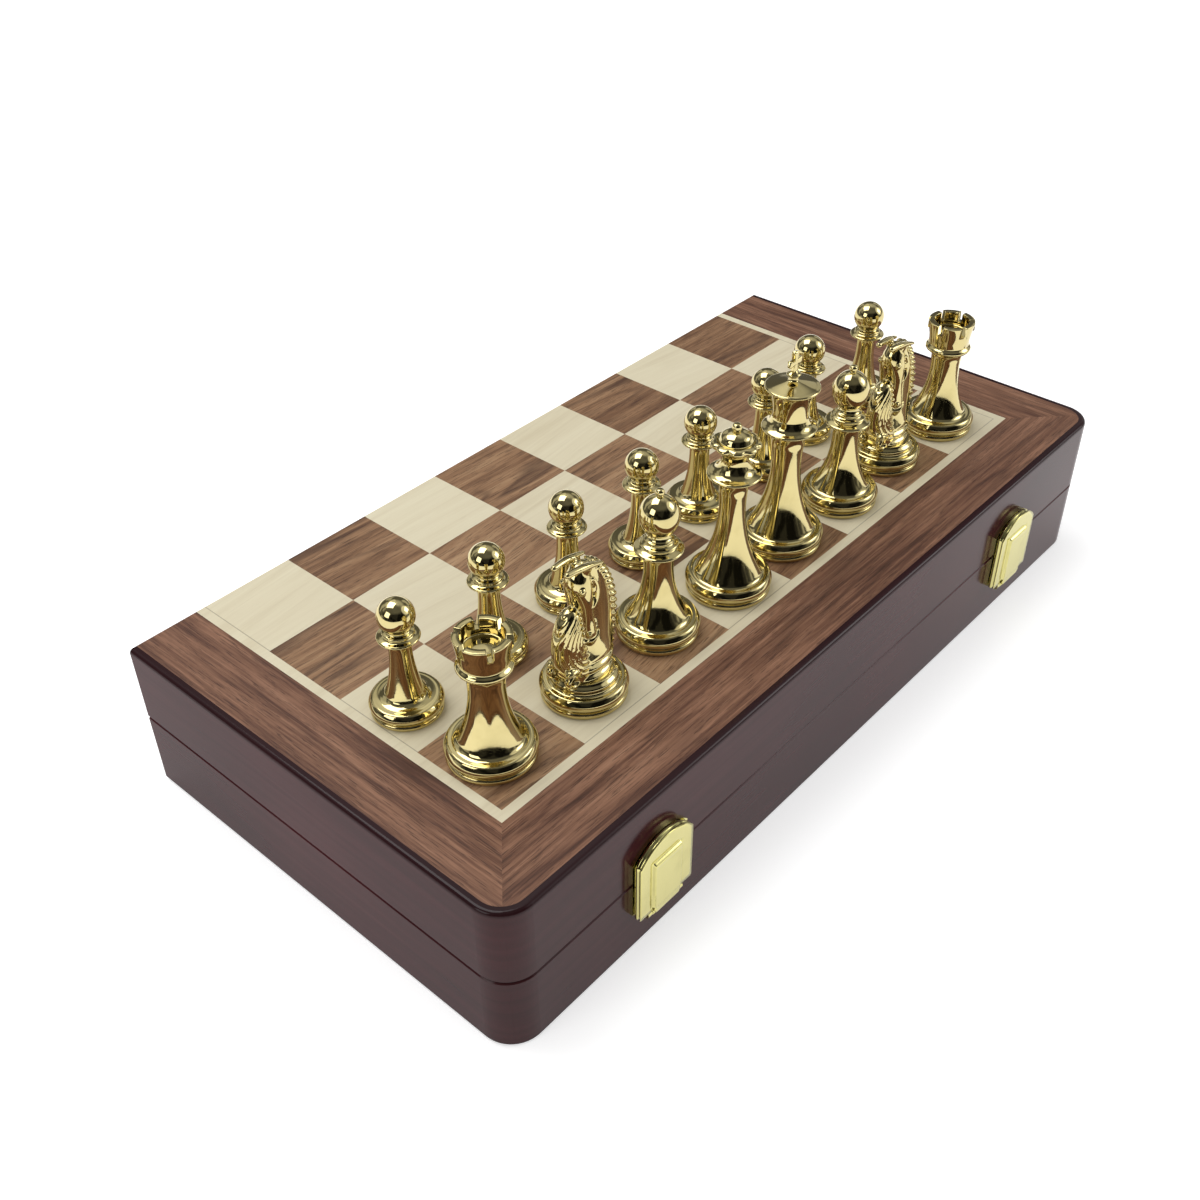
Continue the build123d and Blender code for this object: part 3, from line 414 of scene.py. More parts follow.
# %% [markdown]
# ## Plywood and felt
#
# Under the veneer lies a thin plywood panel, and the tray inside is covered with dark red felt. Both
# are plain, so two or three layers of noise are enough. The pieces stand on green felt discs.


# %% Plywood and felt
def plywood():
    """The hidden panel: plain pale plywood."""
    material, graph = new_material("panel_plywood")
    bands, lines, pores = wood_streaks(graph, grain_place(graph))
    colour = graph.ramp(bands * 0.5 + lines * 0.5, (0.35, (0.33, 0.21, 0.12)), (0.65, (0.52, 0.37, 0.22)))
    graph.finish(Base_Color=colour, Roughness=0.7, Normal=graph.bump(pores, 0.03, 0.5))
    return material


def felt(name, dark, pale):
    """Short fibres: fine tangled noise in colour and height with a soft sheen."""
    material, graph = new_material(name)
    place = graph.place()
    fibres = graph.noise(place, 3.2, 6.0, 0.75, 1.5)
    patches = graph.noise(place, 0.08, 3.0, 0.5)
    colour = graph.ramp(fibres * 0.7 + patches * 0.3, (0.35, dark), (0.65, pale))
    graph.finish(Base_Color=colour, Roughness=0.95, Sheen_Weight=0.4, Sheen_Roughness=0.5,
                 Normal=graph.bump(fibres, 0.25, 0.8))
    return material


PLYWOOD = plywood()
TRAY_FELT = felt("tray_felt", (0.030, 0.006, 0.009), (0.085, 0.018, 0.024))
FOOT_FELT = felt("foot_felt", (0.010, 0.022, 0.012), (0.026, 0.050, 0.028))
print("plain finishes:", PLYWOOD.name, TRAY_FELT.name, FOOT_FELT.name)

# %% [markdown]
# ## Polished gold and silver plating
#
# The pieces are cast, polished and plated. A mirror finish has no colour pattern of its own, so
# what makes it believable is what it reflects, a very low roughness that varies where fingers
# have been, and a faint waviness left by the polishing wheel.


# %% Plated metal
def plated(name, colour, worn, roughness):
    """Bright metal, a little duller in handled patches and scuffs, with a wheel's faint waves."""
    material, graph = new_material(name)
    place = graph.place()
    handling = graph.noise(place, 0.16, 3.0, 0.55)
    scuffs = graph.noise(place, 1.4, 4.0, 0.7)
    tint = graph.mix(handling.ease(0.45, 0.75) * 0.5, (*colour, 1.0), (*worn, 1.0))
    wave = graph.noise(place, 0.35, 2.0, 0.5)
    graph.finish(Base_Color=tint, Metallic=1.0,
                 Roughness=roughness + handling.ease(0.5, 0.8) * 0.05 + scuffs.ease(0.62, 0.8) * 0.05,
                 Normal=graph.bump(wave, 0.03, 0.5))
    return material


GOLD = plated("gold_plate", (0.65, 0.550, 0.262), (0.55, 0.455, 0.195), 0.065)
SILVER = plated("silver_plate", (0.76, 0.76, 0.775), (0.68, 0.68, 0.70), 0.06)
BRASS = plated("brass_fittings", (0.68, 0.625, 0.255), (0.58, 0.53, 0.20), 0.15)
STEEL = plated("plated_steel", (0.72, 0.66, 0.48), (0.60, 0.55, 0.42), 0.22)
print("metals:", GOLD.name, SILVER.name, BRASS.name, STEEL.name)

# %% Give every carried-over node its finish
FINISHES = {
    "rail": LACQUER, "panel": PLYWOOD, "border": WALNUT_BORDER, "stringing": MAPLE_LINE,
    "dark_squares": WALNUT_SQUARES, "light_squares": MAPLE_SQUARES, "tray_pad": TRAY_FELT,
    "tray_dividers": TRAY_FELT, "leaf": BRASS, "keeper": BRASS, "plate": BRASS, "cover": BRASS,
    "pins": STEEL, "nails": BRASS, "screws": STEEL, "gold": GOLD, "silver": SILVER,
}


def finish_for(name):
    """The finish whose key is in the node's name."""
    return next(material for key, material in FINISHES.items() if key in name)


for name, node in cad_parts.items():
    for number in range(len(node.material_slots)):
        node.material_slots[number].material = finish_for(name)
    if not node.material_slots:
        node.data.materials.append(finish_for(name))
print("finished nodes:", len(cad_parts))

# %% [markdown]
# ## Studio
#
# The floor is pale and catches the shadow. For the camera and for reflections it also glows a
# little, so that the background is white without more light on the object. The world is a soft
# white room with darker parts at the sides, because polished metal needs something dark to mirror.


# %% From arrays to an object
def shell_object(name, shell, material):
    """A smooth mesh object from a shell: points in millimetres and groups of quads or triangles."""
    points, groups = shell
    mesh = bpy.data.meshes.new(name)
    mesh.from_pydata((points * MM).tolist(), [], [face for group in groups for face in group.tolist()])
    mesh.polygons.foreach_set("use_smooth", np.full(len(mesh.polygons), True))
    mesh.materials.append(material)
    mesh.update()
    thing = bpy.data.objects.new(name, mesh)
    bpy.context.scene.collection.objects.link(thing)
    return thing


def moved(shell, place):
    """The same shell somewhere else."""
    return shell[0] + place, shell[1]


def set_out(name, shell, material, body, node=None):
    """Make a piece, hang it on the body that carries it, and hide the node it replaces."""
    piece = shell_object(name, shell, material)
    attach(piece, body)
    if node:
        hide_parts(node)


print("shells become mesh objects at the origin")


# %% Floor
WHITE = (1.0, 1.0, 1.0, 1.0)
FLOOR_HALF = 3000.0
FLOOR_GLOW = 0.50


def floor_material():
    """Matt pale paint that also glows for camera, glossy and transmission rays."""
    material, graph = new_material("studio_floor")
    path = {"camera": 0, "glossy": 3, "transmission": 6}
    seen = [graph.node("ShaderNodeLightPath", {}, (), out=number) for number in path.values()]
    visible = (seen[0] + seen[1] + seen[2]).clamp(0.0, 1.0)
    glow = graph.node("ShaderNodeEmission", {}, {"Color": WHITE, "Strength": visible * FLOOR_GLOW})
    paint = graph.node("ShaderNodeBsdfDiffuse", {}, {"Color": (0.80, 0.80, 0.80, 1.0)})
    both = graph.node("ShaderNodeAddShader", {}, [paint, glow])
    graph.node("ShaderNodeOutputMaterial", {}, [both])
    return material


floor_corners = FLOOR_HALF * np.array([[-1, -1, 0], [1, -1, 0], [1, 1, 0], [-1, 1, 0]], float)
floor = shell_object("floor", (floor_corners, [np.arange(4)[None, :]]), floor_material())
print("floor", 2 * FLOOR_HALF, "mm wide")


# %% Lamps
LAMP_TARGET = (0.0, 0.0, 0.03)


def softbox(name, place, size, power):
    """A square area lamp that faces the target."""
    lamp = bpy.data.lights.new(name, "AREA")
    lamp.shape = "SQUARE"
    lamp.size = size
    lamp.energy = power
    thing = bpy.data.objects.new(name, lamp)
    bpy.context.scene.collection.objects.link(thing)
    back = (np.array(place) - np.array(LAMP_TARGET)).tolist()
    aim = Vector(back).to_track_quat("Z", "Y").to_matrix()
    thing.matrix_world = Matrix.Translation(place) @ aim.to_4x4()
    return thing


lamps = [softbox("overhead_box", (-0.15, 0.45, 1.25), 0.8, 7.5),
         softbox("left_box", (-1.35, 0.15, 0.80), 0.7, 4.0),
         softbox("right_box", (1.0, -0.9, 0.8), 0.6, 3.0)]
print("lamps:", [lamp.name for lamp in lamps])

# %% World
MATT_LEVEL = 0.56  # what matt surfaces see
WALL, WINDOWS, CEILING, SIDE_WINDOW = 0.12, 0.40, 0.40, 0.75  # brightness of the mirrored room
TOWARD_CAMERA = (-0.62, -0.56, 0.55)
TOWARD_SIDE_WINDOW = (0.58, -0.62, 0.53)


def studio_world():
    """White for the camera and one plain level for matt surfaces. Polished metal sees a room: a
    bright ceiling, far walls with windows, one more window at the right of the photographer and a
    dark side behind them."""
    world = bpy.data.worlds.new("studio")
    world.use_nodes = True
    sky = Graph(world.node_tree)
    direction = sky.node("ShaderNodeTexCoord", {}, (), out=0)
    dark_side = sky.toward(direction, TOWARD_CAMERA).ease(0.10, 0.58)
    ceiling = sky.split(direction)[2].ease(0.55, 0.80)
    wall = WALL + sky.noise(direction, 2.2, 1.0, 0.4).ease(0.50, 0.56) * WINDOWS
    side_window = sky.toward(direction, TOWARD_SIDE_WINDOW).ease(0.90, 0.95)
    room = (wall * (1.0 - dark_side * 0.95) + ceiling * (1.0 - dark_side * 0.70) * CEILING
            + side_window * SIDE_WINDOW)
    camera_ray, glossy_ray = [sky.node("ShaderNodeLightPath", {}, (), out=number) for number in (0, 3)]
    seen = glossy_ray * room + (1.0 - glossy_ray) * MATT_LEVEL
    level = camera_ray + (1.0 - camera_ray) * seen
    backdrop = sky.node("ShaderNodeBackground", {}, {"Color": WHITE, "Strength": level})
    sky.node("ShaderNodeOutputWorld", {}, [backdrop])
    return world


bpy.context.scene.world = studio_world()
print("world level for matt surfaces:", MATT_LEVEL)

# %% [markdown]
# ## Turned pieces
#
# A turned piece is a profile spun round its axis. The profile is drawn as lines and arcs, walked
# in even steps, and softened with a moving average, which does what the polishing wheel does to
# the edges of a casting. The spin is then one array product: radius times cosine and sine.

# %% Lines in even steps
STEP = 0.05
EVEN_SHARE = 0.012  # what a straight step counts, in radians of turning, when points are thinned out


def bell(offsets):
    """Weights of a bell-shaped average: e to minus half the offset squared, adding up to 1."""
    weights = np.exp(-0.5 * offsets ** 2)
    return weights / weights.sum()


def averaged(line, weights):
    """The line with each column run through a moving average, which uses up its two margins."""
    return np.stack([np.convolve(column, weights, mode="valid") for column in line.T], axis=1)


def distances(line):
    """How far along the line each of its points lies."""
    return np.concatenate([[0], np.cumsum(np.hypot(*np.diff(line, axis=0).T))])


def read_at(places, marks, line):
    """The line read at places, where its own points stand at the marks."""
    return np.stack([np.interp(places, marks, column) for column in line.T], axis=1)


def profile(moves):
    """Walk lines (r, z) and arcs (r, z, bulge) and return even steps along them.
    An arc is the chord plus its bulge times 4 t (1 - t), square to the chord."""
    runs = [np.array([moves[0][:2]], float)]
    for before, move in zip(moves, moves[1:]):
        start = np.array(before[:2], float)
        chord = np.array(move[:2], float) - start
        length = np.hypot(*chord)
        t = np.linspace(0, 1, max(3, int(length / STEP) * 2))[1:, None]
        bulge = move[2] if len(move) > 2 else 0.0
        outward = np.array([chord[1], -chord[0]]) / length
        runs.append(start + chord * t + outward * bulge * 4 * t * (1 - t))
    line = np.concatenate(runs)
    marks = distances(line)
    return read_at(np.arange(0, marks[-1], STEP), marks, line)


def polish(line, radius):
    """Soften corners with a bell-shaped moving average; the mirrored ends keep the poles closed."""
    reach = int(3 * radius / STEP)
    mirror = np.array([-1, 1])
    padded = np.concatenate([line[reach:0:-1] * mirror, line, line[-2:-reach - 2:-1] * mirror])
    return averaged(padded, bell(np.arange(-reach, reach + 1) * STEP / radius))


def thin_out(line, count):
    """Keep count points, closer together where the profile turns quickly."""
    steps = np.diff(line, axis=0)
    turning = np.abs(np.diff(np.unwrap(np.arctan2(steps[:, 1], steps[:, 0]))))
    marks = np.concatenate([[0], np.cumsum(EVEN_SHARE + np.concatenate([turning, [0]]))])
    whole = np.arange(len(line))
    chosen = np.interp(np.linspace(0, marks[-1], count), marks, whole)
    return read_at(chosen, whole, line)


print("profiles are walked in steps of", STEP, "mm")


# %% Closed shells
def even_angles(count):
    """Angles once round a circle, without the last, which would meet the first."""
    return np.arange(count) * 2 * np.pi / count


def capped(rings, ends):
    """A closed shell from a grid of rings, with a fan from the first and the last ring to one end
    point each."""
    count, around, _ = rings.shape
    index = np.arange(count * around).reshape(count, around)
    onward = np.roll(index, -1, axis=1)
    quads = np.stack([index[:-1], onward[:-1], onward[1:], index[1:]], axis=-1).reshape(-1, 4)
    low, high = count * around, count * around + 1
    bottom = np.stack([onward[0], index[0], np.full(around, low)], axis=-1)
    top = np.stack([index[-1], onward[-1], np.full(around, high)], axis=-1)
    return np.concatenate([rings.reshape(-1, 3), ends]), [quads, np.concatenate([bottom, top])]


def tube_shell(rings):
    """A closed tube whose end points are the middles of its end rings."""
    return capped(rings, [rings[0].mean(0), rings[-1].mean(0)])


def spin(line, angles, warp=None):
    """Spin a profile that starts and ends on the axis: (r cos a, r sin a, z), with a single point
    at each pole. warp may change the grids of r and z once they are laid out."""
    r = np.repeat(line[1:-1, :1], len(angles), axis=1)
    z = np.repeat(line[1:-1, 1:], len(angles), axis=1)
    if warp is not None:
        r, z = warp(r, z, angles)
    rings = np.stack([r * np.cos(angles), r * np.sin(angles), z], axis=-1)
    return capped(rings, [[0, 0, line[0, 1]], [0, 0, line[-1, 1]]])


def turned(moves, angles, warp=None, soft=0.13, count=150):
    """A shell from moves: drawn, polished, thinned out and spun."""
    return spin(thin_out(polish(profile(moves), soft), count), angles, warp)


def merge(shells):
    """Several (points, face groups) shells as one."""
    points, groups, start = [], [], 0
    for shell_points, shell_groups in shells:
        points.append(shell_points)
        groups += [group + start for group in shell_groups]
        start += len(shell_points)
    return np.concatenate(points), groups


print("shells: spun profiles and closed tubes")

# %% [markdown]
# ## The foot and the profiles
#
# Every piece stands on the same kind of foot, so one function draws it from four sizes. A piece is
# its foot and then its own moves, read from the bottom to the top.

# %% The shared foot
RADII = {"pawn": 10.4, "rook": 12.6, "bishop": 12.45, "queen": 13.1, "king": 13.4, "knight": 12.5}
FELT_INSET = 2.0
FELT_THICK = 0.6


def foot(kind, body_r, ring_tall, roll_tall):
    """A lower ring, a groove, a rounded roll, a lip and a shallow hollow rise to the body."""
    base_r = RADII[kind]
    roll_low = ring_tall + 0.45
    roll_top = roll_low + roll_tall
    return [
        (0, FELT_THICK), (base_r - FELT_INSET, FELT_THICK), (base_r - FELT_INSET, 0.0),
        (base_r - 0.9, 0.0), (base_r - 0.75, ring_tall, 0.42), (base_r - 1.2, ring_tall + 0.1),
        (base_r - 1.25, roll_low), (base_r - 0.85, roll_low + 0.05),
        (base_r - 0.7, roll_low + roll_tall * 0.80, 0.66), (base_r - 1.45, roll_top, 0.14),
        (base_r - 2.2, roll_top - 0.05), (body_r, roll_top + 1.0, -0.28),
    ]


print("feet:", RADII)

# %% Profiles of the turned pieces
PAWN = foot("pawn", 5.5, 1.7, 3.2) + [
    (3.15, 22.8, -0.75), (3.5, 24.4, -0.05), (5.45, 25.05, -0.3), (5.5, 25.95, 0.42), (4.1, 26.55, -0.15),
    (3.95, 27.4, 0.35), (3.2, 27.85, -0.1), (3.22, 28.10), (5.087, 31.24, 0.33), (4.473, 34.72, 0.31),
    (2.183, 36.82, 0.24), (0, 37.3, 0.12)]
ROOK = foot("rook", 8.6, 2.0, 3.8) + [
    (5.05, 27.0, -1.35), (5.5, 29.2, -0.15), (7.0, 30.1, -0.25), (7.05, 31.8, 0.5), (6.5, 32.4, -0.08),
    (6.65, 33.2), (7.05, 36.6, -0.05), (7.65, 40.2), (7.5, 40.6, 0.08), (5.85, 40.6), (5.7, 40.3, 0.08),
    (5.6, 36.4), (5.2, 36.0, -0.12), (3.5, 36.0), (3.2, 36.6, 0.1), (0, 36.8, 0.05)]
BISHOP = foot("bishop", 8.6, 2.0, 3.8) + [
    (4.3, 26.6, -1.5), (4.7, 28.4, -0.1), (6.6, 29.1, -0.3), (6.65, 30.15, 0.46), (4.9, 30.8, -0.1),
    (5.05, 31.2, -0.05), (5.1, 31.95, 0.36), (4.0, 32.5, -0.1), (4.15, 33.2, 0.1), (3.2, 33.9, -0.15),
    (2.9, 34.8), (5.40, 38.3, 0.38), (5.40, 42.75, 0.38), (3.30, 45.76, 0.28), (0.80, 46.9, 0.16),
    (0.95, 47.2, -0.05), (1.30, 48.0, 0.16), (0, 48.94, 0.42)]
QUEEN = foot("queen", 9.6, 2.0, 3.8) + [
    (4.2, 34.8, -2.2), (4.6, 37.8, -0.2), (7.45, 39.85, -0.8), (7.6, 40.75, 0.42), (4.4, 43.6, -0.65),
    (3.9, 45.4, -0.15), (4.15, 46.3, -0.05), (6.3, 49.2, -0.5), (6.85, 49.6, 0.1), (6.9, 50.7, 0.4),
    (5.5, 51.1, 0.1), (4.8, 50.7, -0.1), (4.65, 51.7, 0.2), (3.1, 53.5, 0.35), (1.0, 54.1, 0.15),
    (0.95, 54.3, -0.05), (1.45, 55.1, 0.2), (0, 56.35, 0.55)]
KING = foot("king", 9.9, 2.0, 3.8) + [
    (4.95, 35.6, -2.3), (5.3, 38.6, -0.2), (7.85, 40.65, -0.75), (7.95, 41.6, 0.42), (5.6, 44.2, -0.5),
    (5.25, 45.2, -0.1), (6.7, 53.3, -0.5), (7.8, 54.1, -0.2), (7.85, 55.0, 0.40), (4.2, 55.9, -0.1),
    (1.5, 56.6, -0.05), (1.2, 57.8, -0.05), (1.8, 58.2), (1.85, 59.0, 0.32), (1.0, 59.5, -0.05),
    (0.9, 59.8), (0, 59.9)]
print("profiles drawn; the king's has", len(KING), "moves")

# %% [markdown]
# ## Battlements, coronet and cross
#
# A rook's gaps are sawn and a coronet's lobes are filed after turning. Here both are changes to the
# spun grid: heights pressed down inside a gap, radii drawn in between lobes. The cross is cast with
# the king and is two short bars.

# %% Battlements and coronet
BATTLEMENTS = 6
GAP_SILL = 37.5  # height of the floor of a gap
GAP_HALF = 0.78  # half the width of a gap
WALL_R = 7.2  # where that width is measured
CORONET_Z = 50.2
LOBES = 9


def notched(r, z, angles):
    """Cut the rook's battlements: inside each gap, whatever is above the sill is pressed down."""
    spacing = 2 * np.pi / BATTLEMENTS
    away = np.abs((angles + spacing / 2) % spacing - spacing / 2)
    in_gap = (away[None, :] * WALL_R < GAP_HALF)
    return r, np.where(in_gap & (z > GAP_SILL), GAP_SILL + (z - GAP_SILL) * 0.03, z)


def notch_angles():
    """Even angles, plus close pairs on both sides of every gap edge so that the cuts are crisp."""
    edge = GAP_HALF / WALL_R
    pairs = np.array([edge - 0.006, edge + 0.006])
    edges = np.concatenate([pairs, -pairs])[:, None] + even_angles(BATTLEMENTS)
    return np.unique(np.concatenate([even_angles(72) + 0.02, edges.ravel() % (2 * np.pi)]).round(5))


def lobed(r, z, angles):
    """Scallop the queen's coronet: near its height the rim draws in between the lobes, as the
    sixth power of a cosine."""
    rim = np.exp(-((z - CORONET_Z) / 0.9) ** 2) * (r > 5.6)
    between = np.abs(np.cos(angles * LOBES / 2)) ** 6
    return r - 0.80 * rim * between, z


print(BATTLEMENTS, "battlements and", LOBES, "lobes")


# %% Cross
def boxy(wave, power):
    """A wave between -1 and 1 with fuller shoulders: its sign times its size to a power below 1."""
    return np.sign(wave) * np.abs(wave) ** power


def rounded_ends(t, power):
    """1 along the middle of t = -1 to 1 and 0 at both ends: the root of 1 minus t to a power."""
    return np.sqrt(1 - np.abs(t) ** power)


def cross_shape():
    """A small cross with flared arms: two bars whose width grows with the square of the distance
    from their middle; each is a rounded box section carried along its own axis."""
    t = np.linspace(-1, 1, 25)
    a = even_angles(24)
    cap = rounded_ends(t, 14)
    across = np.outer((0.72 + 0.55 * t ** 2) * cap, boxy(np.cos(a), 0.45))
    through = np.outer(0.80 * cap, boxy(np.sin(a), 0.45))
    upright = np.stack([across, through, np.repeat(t[:, None] * 3.45, 24, 1) + 62.55], axis=-1)
    level = np.stack([np.repeat(t[:, None] * 2.95, 24, 1), through, across + 62.4], axis=-1)
    return [tube_shell(upright), tube_shell(level[::-1])]


print("cross:", sum(len(points) for points, groups in cross_shape()), "points")

# %% Shapes of the turned pieces
ROUND = even_angles(80)
SHAPES = {
    "pawn": turned(PAWN, ROUND, count=120),
    "rook": turned(ROOK, notch_angles(), notched),
    "bishop": turned(BISHOP, ROUND),
    "queen": turned(QUEEN, even_angles(108), lobed, count=160),
    "king": merge([turned(KING, ROUND)] + cross_shape()),
}
for kind, (points, groups) in SHAPES.items():
    print(kind, len(points), "points,", round(points[:, 2].max(), 2), "mm tall")

# %% [markdown]
# ## The knight
#
# A horse can't be spun. Its masses are stacks of oval sections instead: one stack for the arched
# neck, one for the chest and one for the tucked head. A table gives the middle, length and width of
# the section at each height, and a smooth curve fills in between. Ears, braided crest and scrolls
# are tubes carried along paths. A remesh then melts them into one skin, as in a casting, and the
# turned foot stays crisp below.


# %% Oval stacks and carried tubes
def filled_in(table, count):
    """Resample rows of numbers evenly along the table and soften the joins between its rows."""
    table = np.array(table, float)
    t = np.linspace(0, len(table) - 1, 40 * len(table))
    fine = read_at(t, np.arange(len(table)), table)
    padded = np.pad(fine, ((40, 40), (0, 0)), mode="reflect", reflect_type="odd")
    soft = averaged(padded, bell(np.arange(-40, 41) / 14.0))
    return read_at(np.linspace(0, len(t) - 1, count), np.arange(len(t)), soft)


def oval_stack(table, rings=90, around=72, relief=None):
    """Sections (middle x + a cos v, b sin v, z), from rows of (z, x, a, b). relief(z, v, x) is
    added to the size of the section."""
    z, middle, a, b = filled_in(table, rings).T[:, :, None]
    v = even_angles(around)[None, :]
    close = rounded_ends(np.linspace(-1, 1, rings), 24)[:, None]
    grow = relief(z, v, middle) if relief else 0.0
    x = middle + (a + grow) * np.cos(v) * close
    y = (b + grow) * np.sin(v) * close
    return tube_shell(np.stack([x, y, np.repeat(z, around, 1)], axis=-1))


def carried(path, wide, thick, around=20, twist=None):
    """Carry an oval along a path: at each point the oval lies across the direction of travel."""
    along = np.gradient(path, axis=0)
    along /= np.linalg.norm(along, axis=1)[:, None]
    side = np.cross(along, (0.0, 1.0, 0.0))
    side /= np.linalg.norm(side, axis=1)[:, None]
    other = np.cross(along, side)
    v = even_angles(around)
    grow = twist(np.linspace(0, 1, len(path))[:, None], v[None, :]) if twist else 1.0
    ring = (thick[:, None] * np.cos(v) * grow)[..., None] * side[:, None, :]
    ring = ring + (wide[:, None] * np.sin(v) * grow)[..., None] * other[:, None, :]
    return tube_shell(path[:, None, :] + ring)


def tapered(count, start, middle, end):
    """A size that runs from start through middle to end, and to almost nothing at both tips."""
    return np.interp(np.linspace(0, 1, count), [0, 0.06, 0.5, 0.94, 1], [0.02, start, middle, end, 0.02])


def tube(points, count, wide, thick, around=20, twist=None):
    """A tapered tube through a few points; wide and thick each give start, middle and end."""
    return carried(filled_in(points, count), tapered(count, *wide), tapered(count, *thick), around, twist)


print("ovals are stacked by height or carried along paths")

# %% Masses of the horse, as rows of (z, x, a, b)
NECK = [(7.0, 0.0, 8.6, 7.4), (10.0, -0.3, 8.7, 6.5), (13.5, -1.6, 8.6, 5.0), (17.0, -3.2, 7.7, 3.7),
        (21.0, -4.5, 6.8, 3.1), (25.0, -5.1, 6.2, 2.8), (29.0, -5.0, 5.8, 2.7), (33.0, -4.4, 5.2, 2.7),
        (37.0, -3.2, 4.6, 2.7), (40.5, -1.8, 3.7, 2.5), (43.0, -0.8, 2.4, 2.0), (44.2, -0.4, 1.0, 1.0)]
CHEST = [(7.2, 2.6, 5.2, 5.8), (10.5, 3.8, 5.2, 5.2), (14.5, 4.9, 5.2, 4.4), (18.5, 5.6, 5.1, 3.8),
         (22.5, 5.9, 4.8, 3.4), (26.0, 5.9, 4.1, 3.1), (29.0, 5.4, 3.2, 2.7), (31.2, 4.8, 1.9, 1.8),
         (31.8, 4.6, 0.8, 0.8)]
HEAD = [(44.0, 0.2, 1.2, 1.2), (43.0, 0.8, 2.5, 2.3), (40.5, 1.5, 3.4, 3.4), (37.5, 1.6, 3.6, 4.2),
        (34.0, 1.2, 3.0, 4.3), (30.5, 0.8, 2.5, 4.1), (27.0, 0.5, 2.3, 4.1), (24.0, 0.3, 2.5, 4.5),
        (21.0, 0.1, 2.6, 4.7), (18.8, 0.0, 2.0, 3.9), (17.6, 0.0, 0.9, 1.8)]
KNOB = [(8.2, -9.6, 0.3, 0.3), (8.8, -9.6, 1.1, 1.2), (9.8, -9.6, 1.4, 1.5), (10.8, -9.6, 1.0, 1.1),
        (11.3, -9.6, 0.3, 0.3)]
print("rows: neck", len(NECK), "chest", len(CHEST), "head", len(HEAD), "knob", len(KNOB))

# %% Relief on the masses
BAND_PITCH = 2.3
FLUTE_X, FLUTE_Z = 2.2, 20.5  # the point behind the muzzle that the flutes ring
FLUTE_PITCH = 1.35
BRAID_TURNS = 19


def belly_bands(z, v, middle):
    """Rounded horizontal bands round the bottom of the neck, fading out upwards."""
    return 0.34 * np.sin(z * 2 * np.pi / BAND_PITCH) * np.clip((14.6 - z) / 2.0, 0, 1)


def chest_fan(z, v, middle):
    """Curved flutes over the breast: rounded ridges in rings round a point behind the muzzle."""
    away = np.hypot(middle + 5.0 * np.cos(v) - FLUTE_X, (z - FLUTE_Z) * 0.8)
    fade = np.clip((z - 11.0) / 2.0, 0, 1) * np.clip((31.4 - z) / 1.0, 0, 1)
    return 0.62 * (np.abs(np.sin(away * np.pi / FLUTE_PITCH)) ** 0.8 - 0.5) * fade


def braided(s, v):
    """Slanting cuts along the mane: a wave along the path that is offset round the section."""
    return 0.94 + 0.15 * boxy(np.sin(2 * np.pi * BRAID_TURNS * s + 3 * v), 0.7)


print("relief: bands, flutes and a braid of", BRAID_TURNS, "turns")

# %% Details of the horse
CREST = [(-1.2, 0, 43.7), (-4.6, 0, 41.4), (-7.6, 0, 37.2), (-9.4, 0, 31.5), (-10.1, 0, 25.0),
         (-9.9, 0, 19.0), (-9.1, 0, 13.0), (-8.5, 0, 8.5)]
# Tubes that come in pairs: path on one side, steps, then width and thickness at start, middle, end.
PAIRS = {
    "ear": ([(8.8, 2.2, 45.2), (4.6, 2.5, 45.1), (-0.4, 2.9, 44.3), (-5.2, 3.3, 42.8)],
            40, (0.95, 1.15, 0.6), (0.85, 1.0, 0.5)),
    "ear_root": ([(0.4, 1.9, 42.0), (0.6, 2.4, 43.6), (0.9, 2.6, 45.0)],
                 16, (1.2, 1.1, 0.9), (1.8, 1.5, 1.2)),
    "cheek": ([(-0.6, 3.3, 40.6), (-1.9, 3.9, 37.2), (-1.3, 4.2, 33.4), (0.6, 4.2, 31.2)],
              40, (0.5, 0.6, 0.35), (0.5, 0.6, 0.35)),
    "lip": ([(-2.0, 3.9, 23.4), (-0.9, 4.7, 21.7), (1.4, 4.5, 20.9), (2.5, 2.9, 20.6)],
            30, (0.35, 0.45, 0.3), (0.35, 0.42, 0.3)),
}


def volute(side):
    """A scroll low on the breast: 1.55 turns, with a reach that shrinks evenly from 3.0 to 0.66."""
    turn = np.linspace(0, 1, 60)
    angle, reach = 2 * np.pi * 1.55 * turn + 0.6, 3.0 * (1 - 0.78 * turn)
    x, z = 8.2 + reach * np.cos(angle), 11.4 + reach * np.sin(angle)
    path = np.stack([x, np.full(60, 3.4 * side), z], axis=1)
    return carried(path, tapered(60, 1.4, 1.3, 0.9), tapered(60, 0.75, 0.68, 0.5), 16)


def bead(x, y, z, tall):
    """A small almond for an eye or a nostril."""
    rows = [(z - tall, x, 0.25, 0.25), (z - tall * 0.6, x, tall * 0.85, 0.55), (z, x, tall, 0.75),
            (z + tall * 0.6, x, tall * 0.85, 0.55), (z + tall, x, 0.25, 0.25)]
    return moved(oval_stack(rows, 14, 20), (0, y, 0))


def horse():
    """All the masses and details, still as separate closed shells."""
    shells = [oval_stack(NECK, relief=belly_bands), oval_stack(CHEST, 150, 180, relief=chest_fan),
              oval_stack(HEAD), tube(CREST, 190, (2.0, 2.7, 2.3), (1.5, 2.1, 1.8), 40, braided)]
    for side in (-1, 1):
        shells += [tube(np.array(path) * (1, side, 1), *sizes) for path, *sizes in PAIRS.values()]
        shells += [volute(side), bead(3.4, 3.5 * side, 37.9, 0.95), bead(1.7, 4.0 * side, 23.2, 0.6)]
    return merge(shells + [oval_stack(KNOB, 16, 24)])


print("details in pairs:", ", ".join(PAIRS), "volute, eye and nostril")


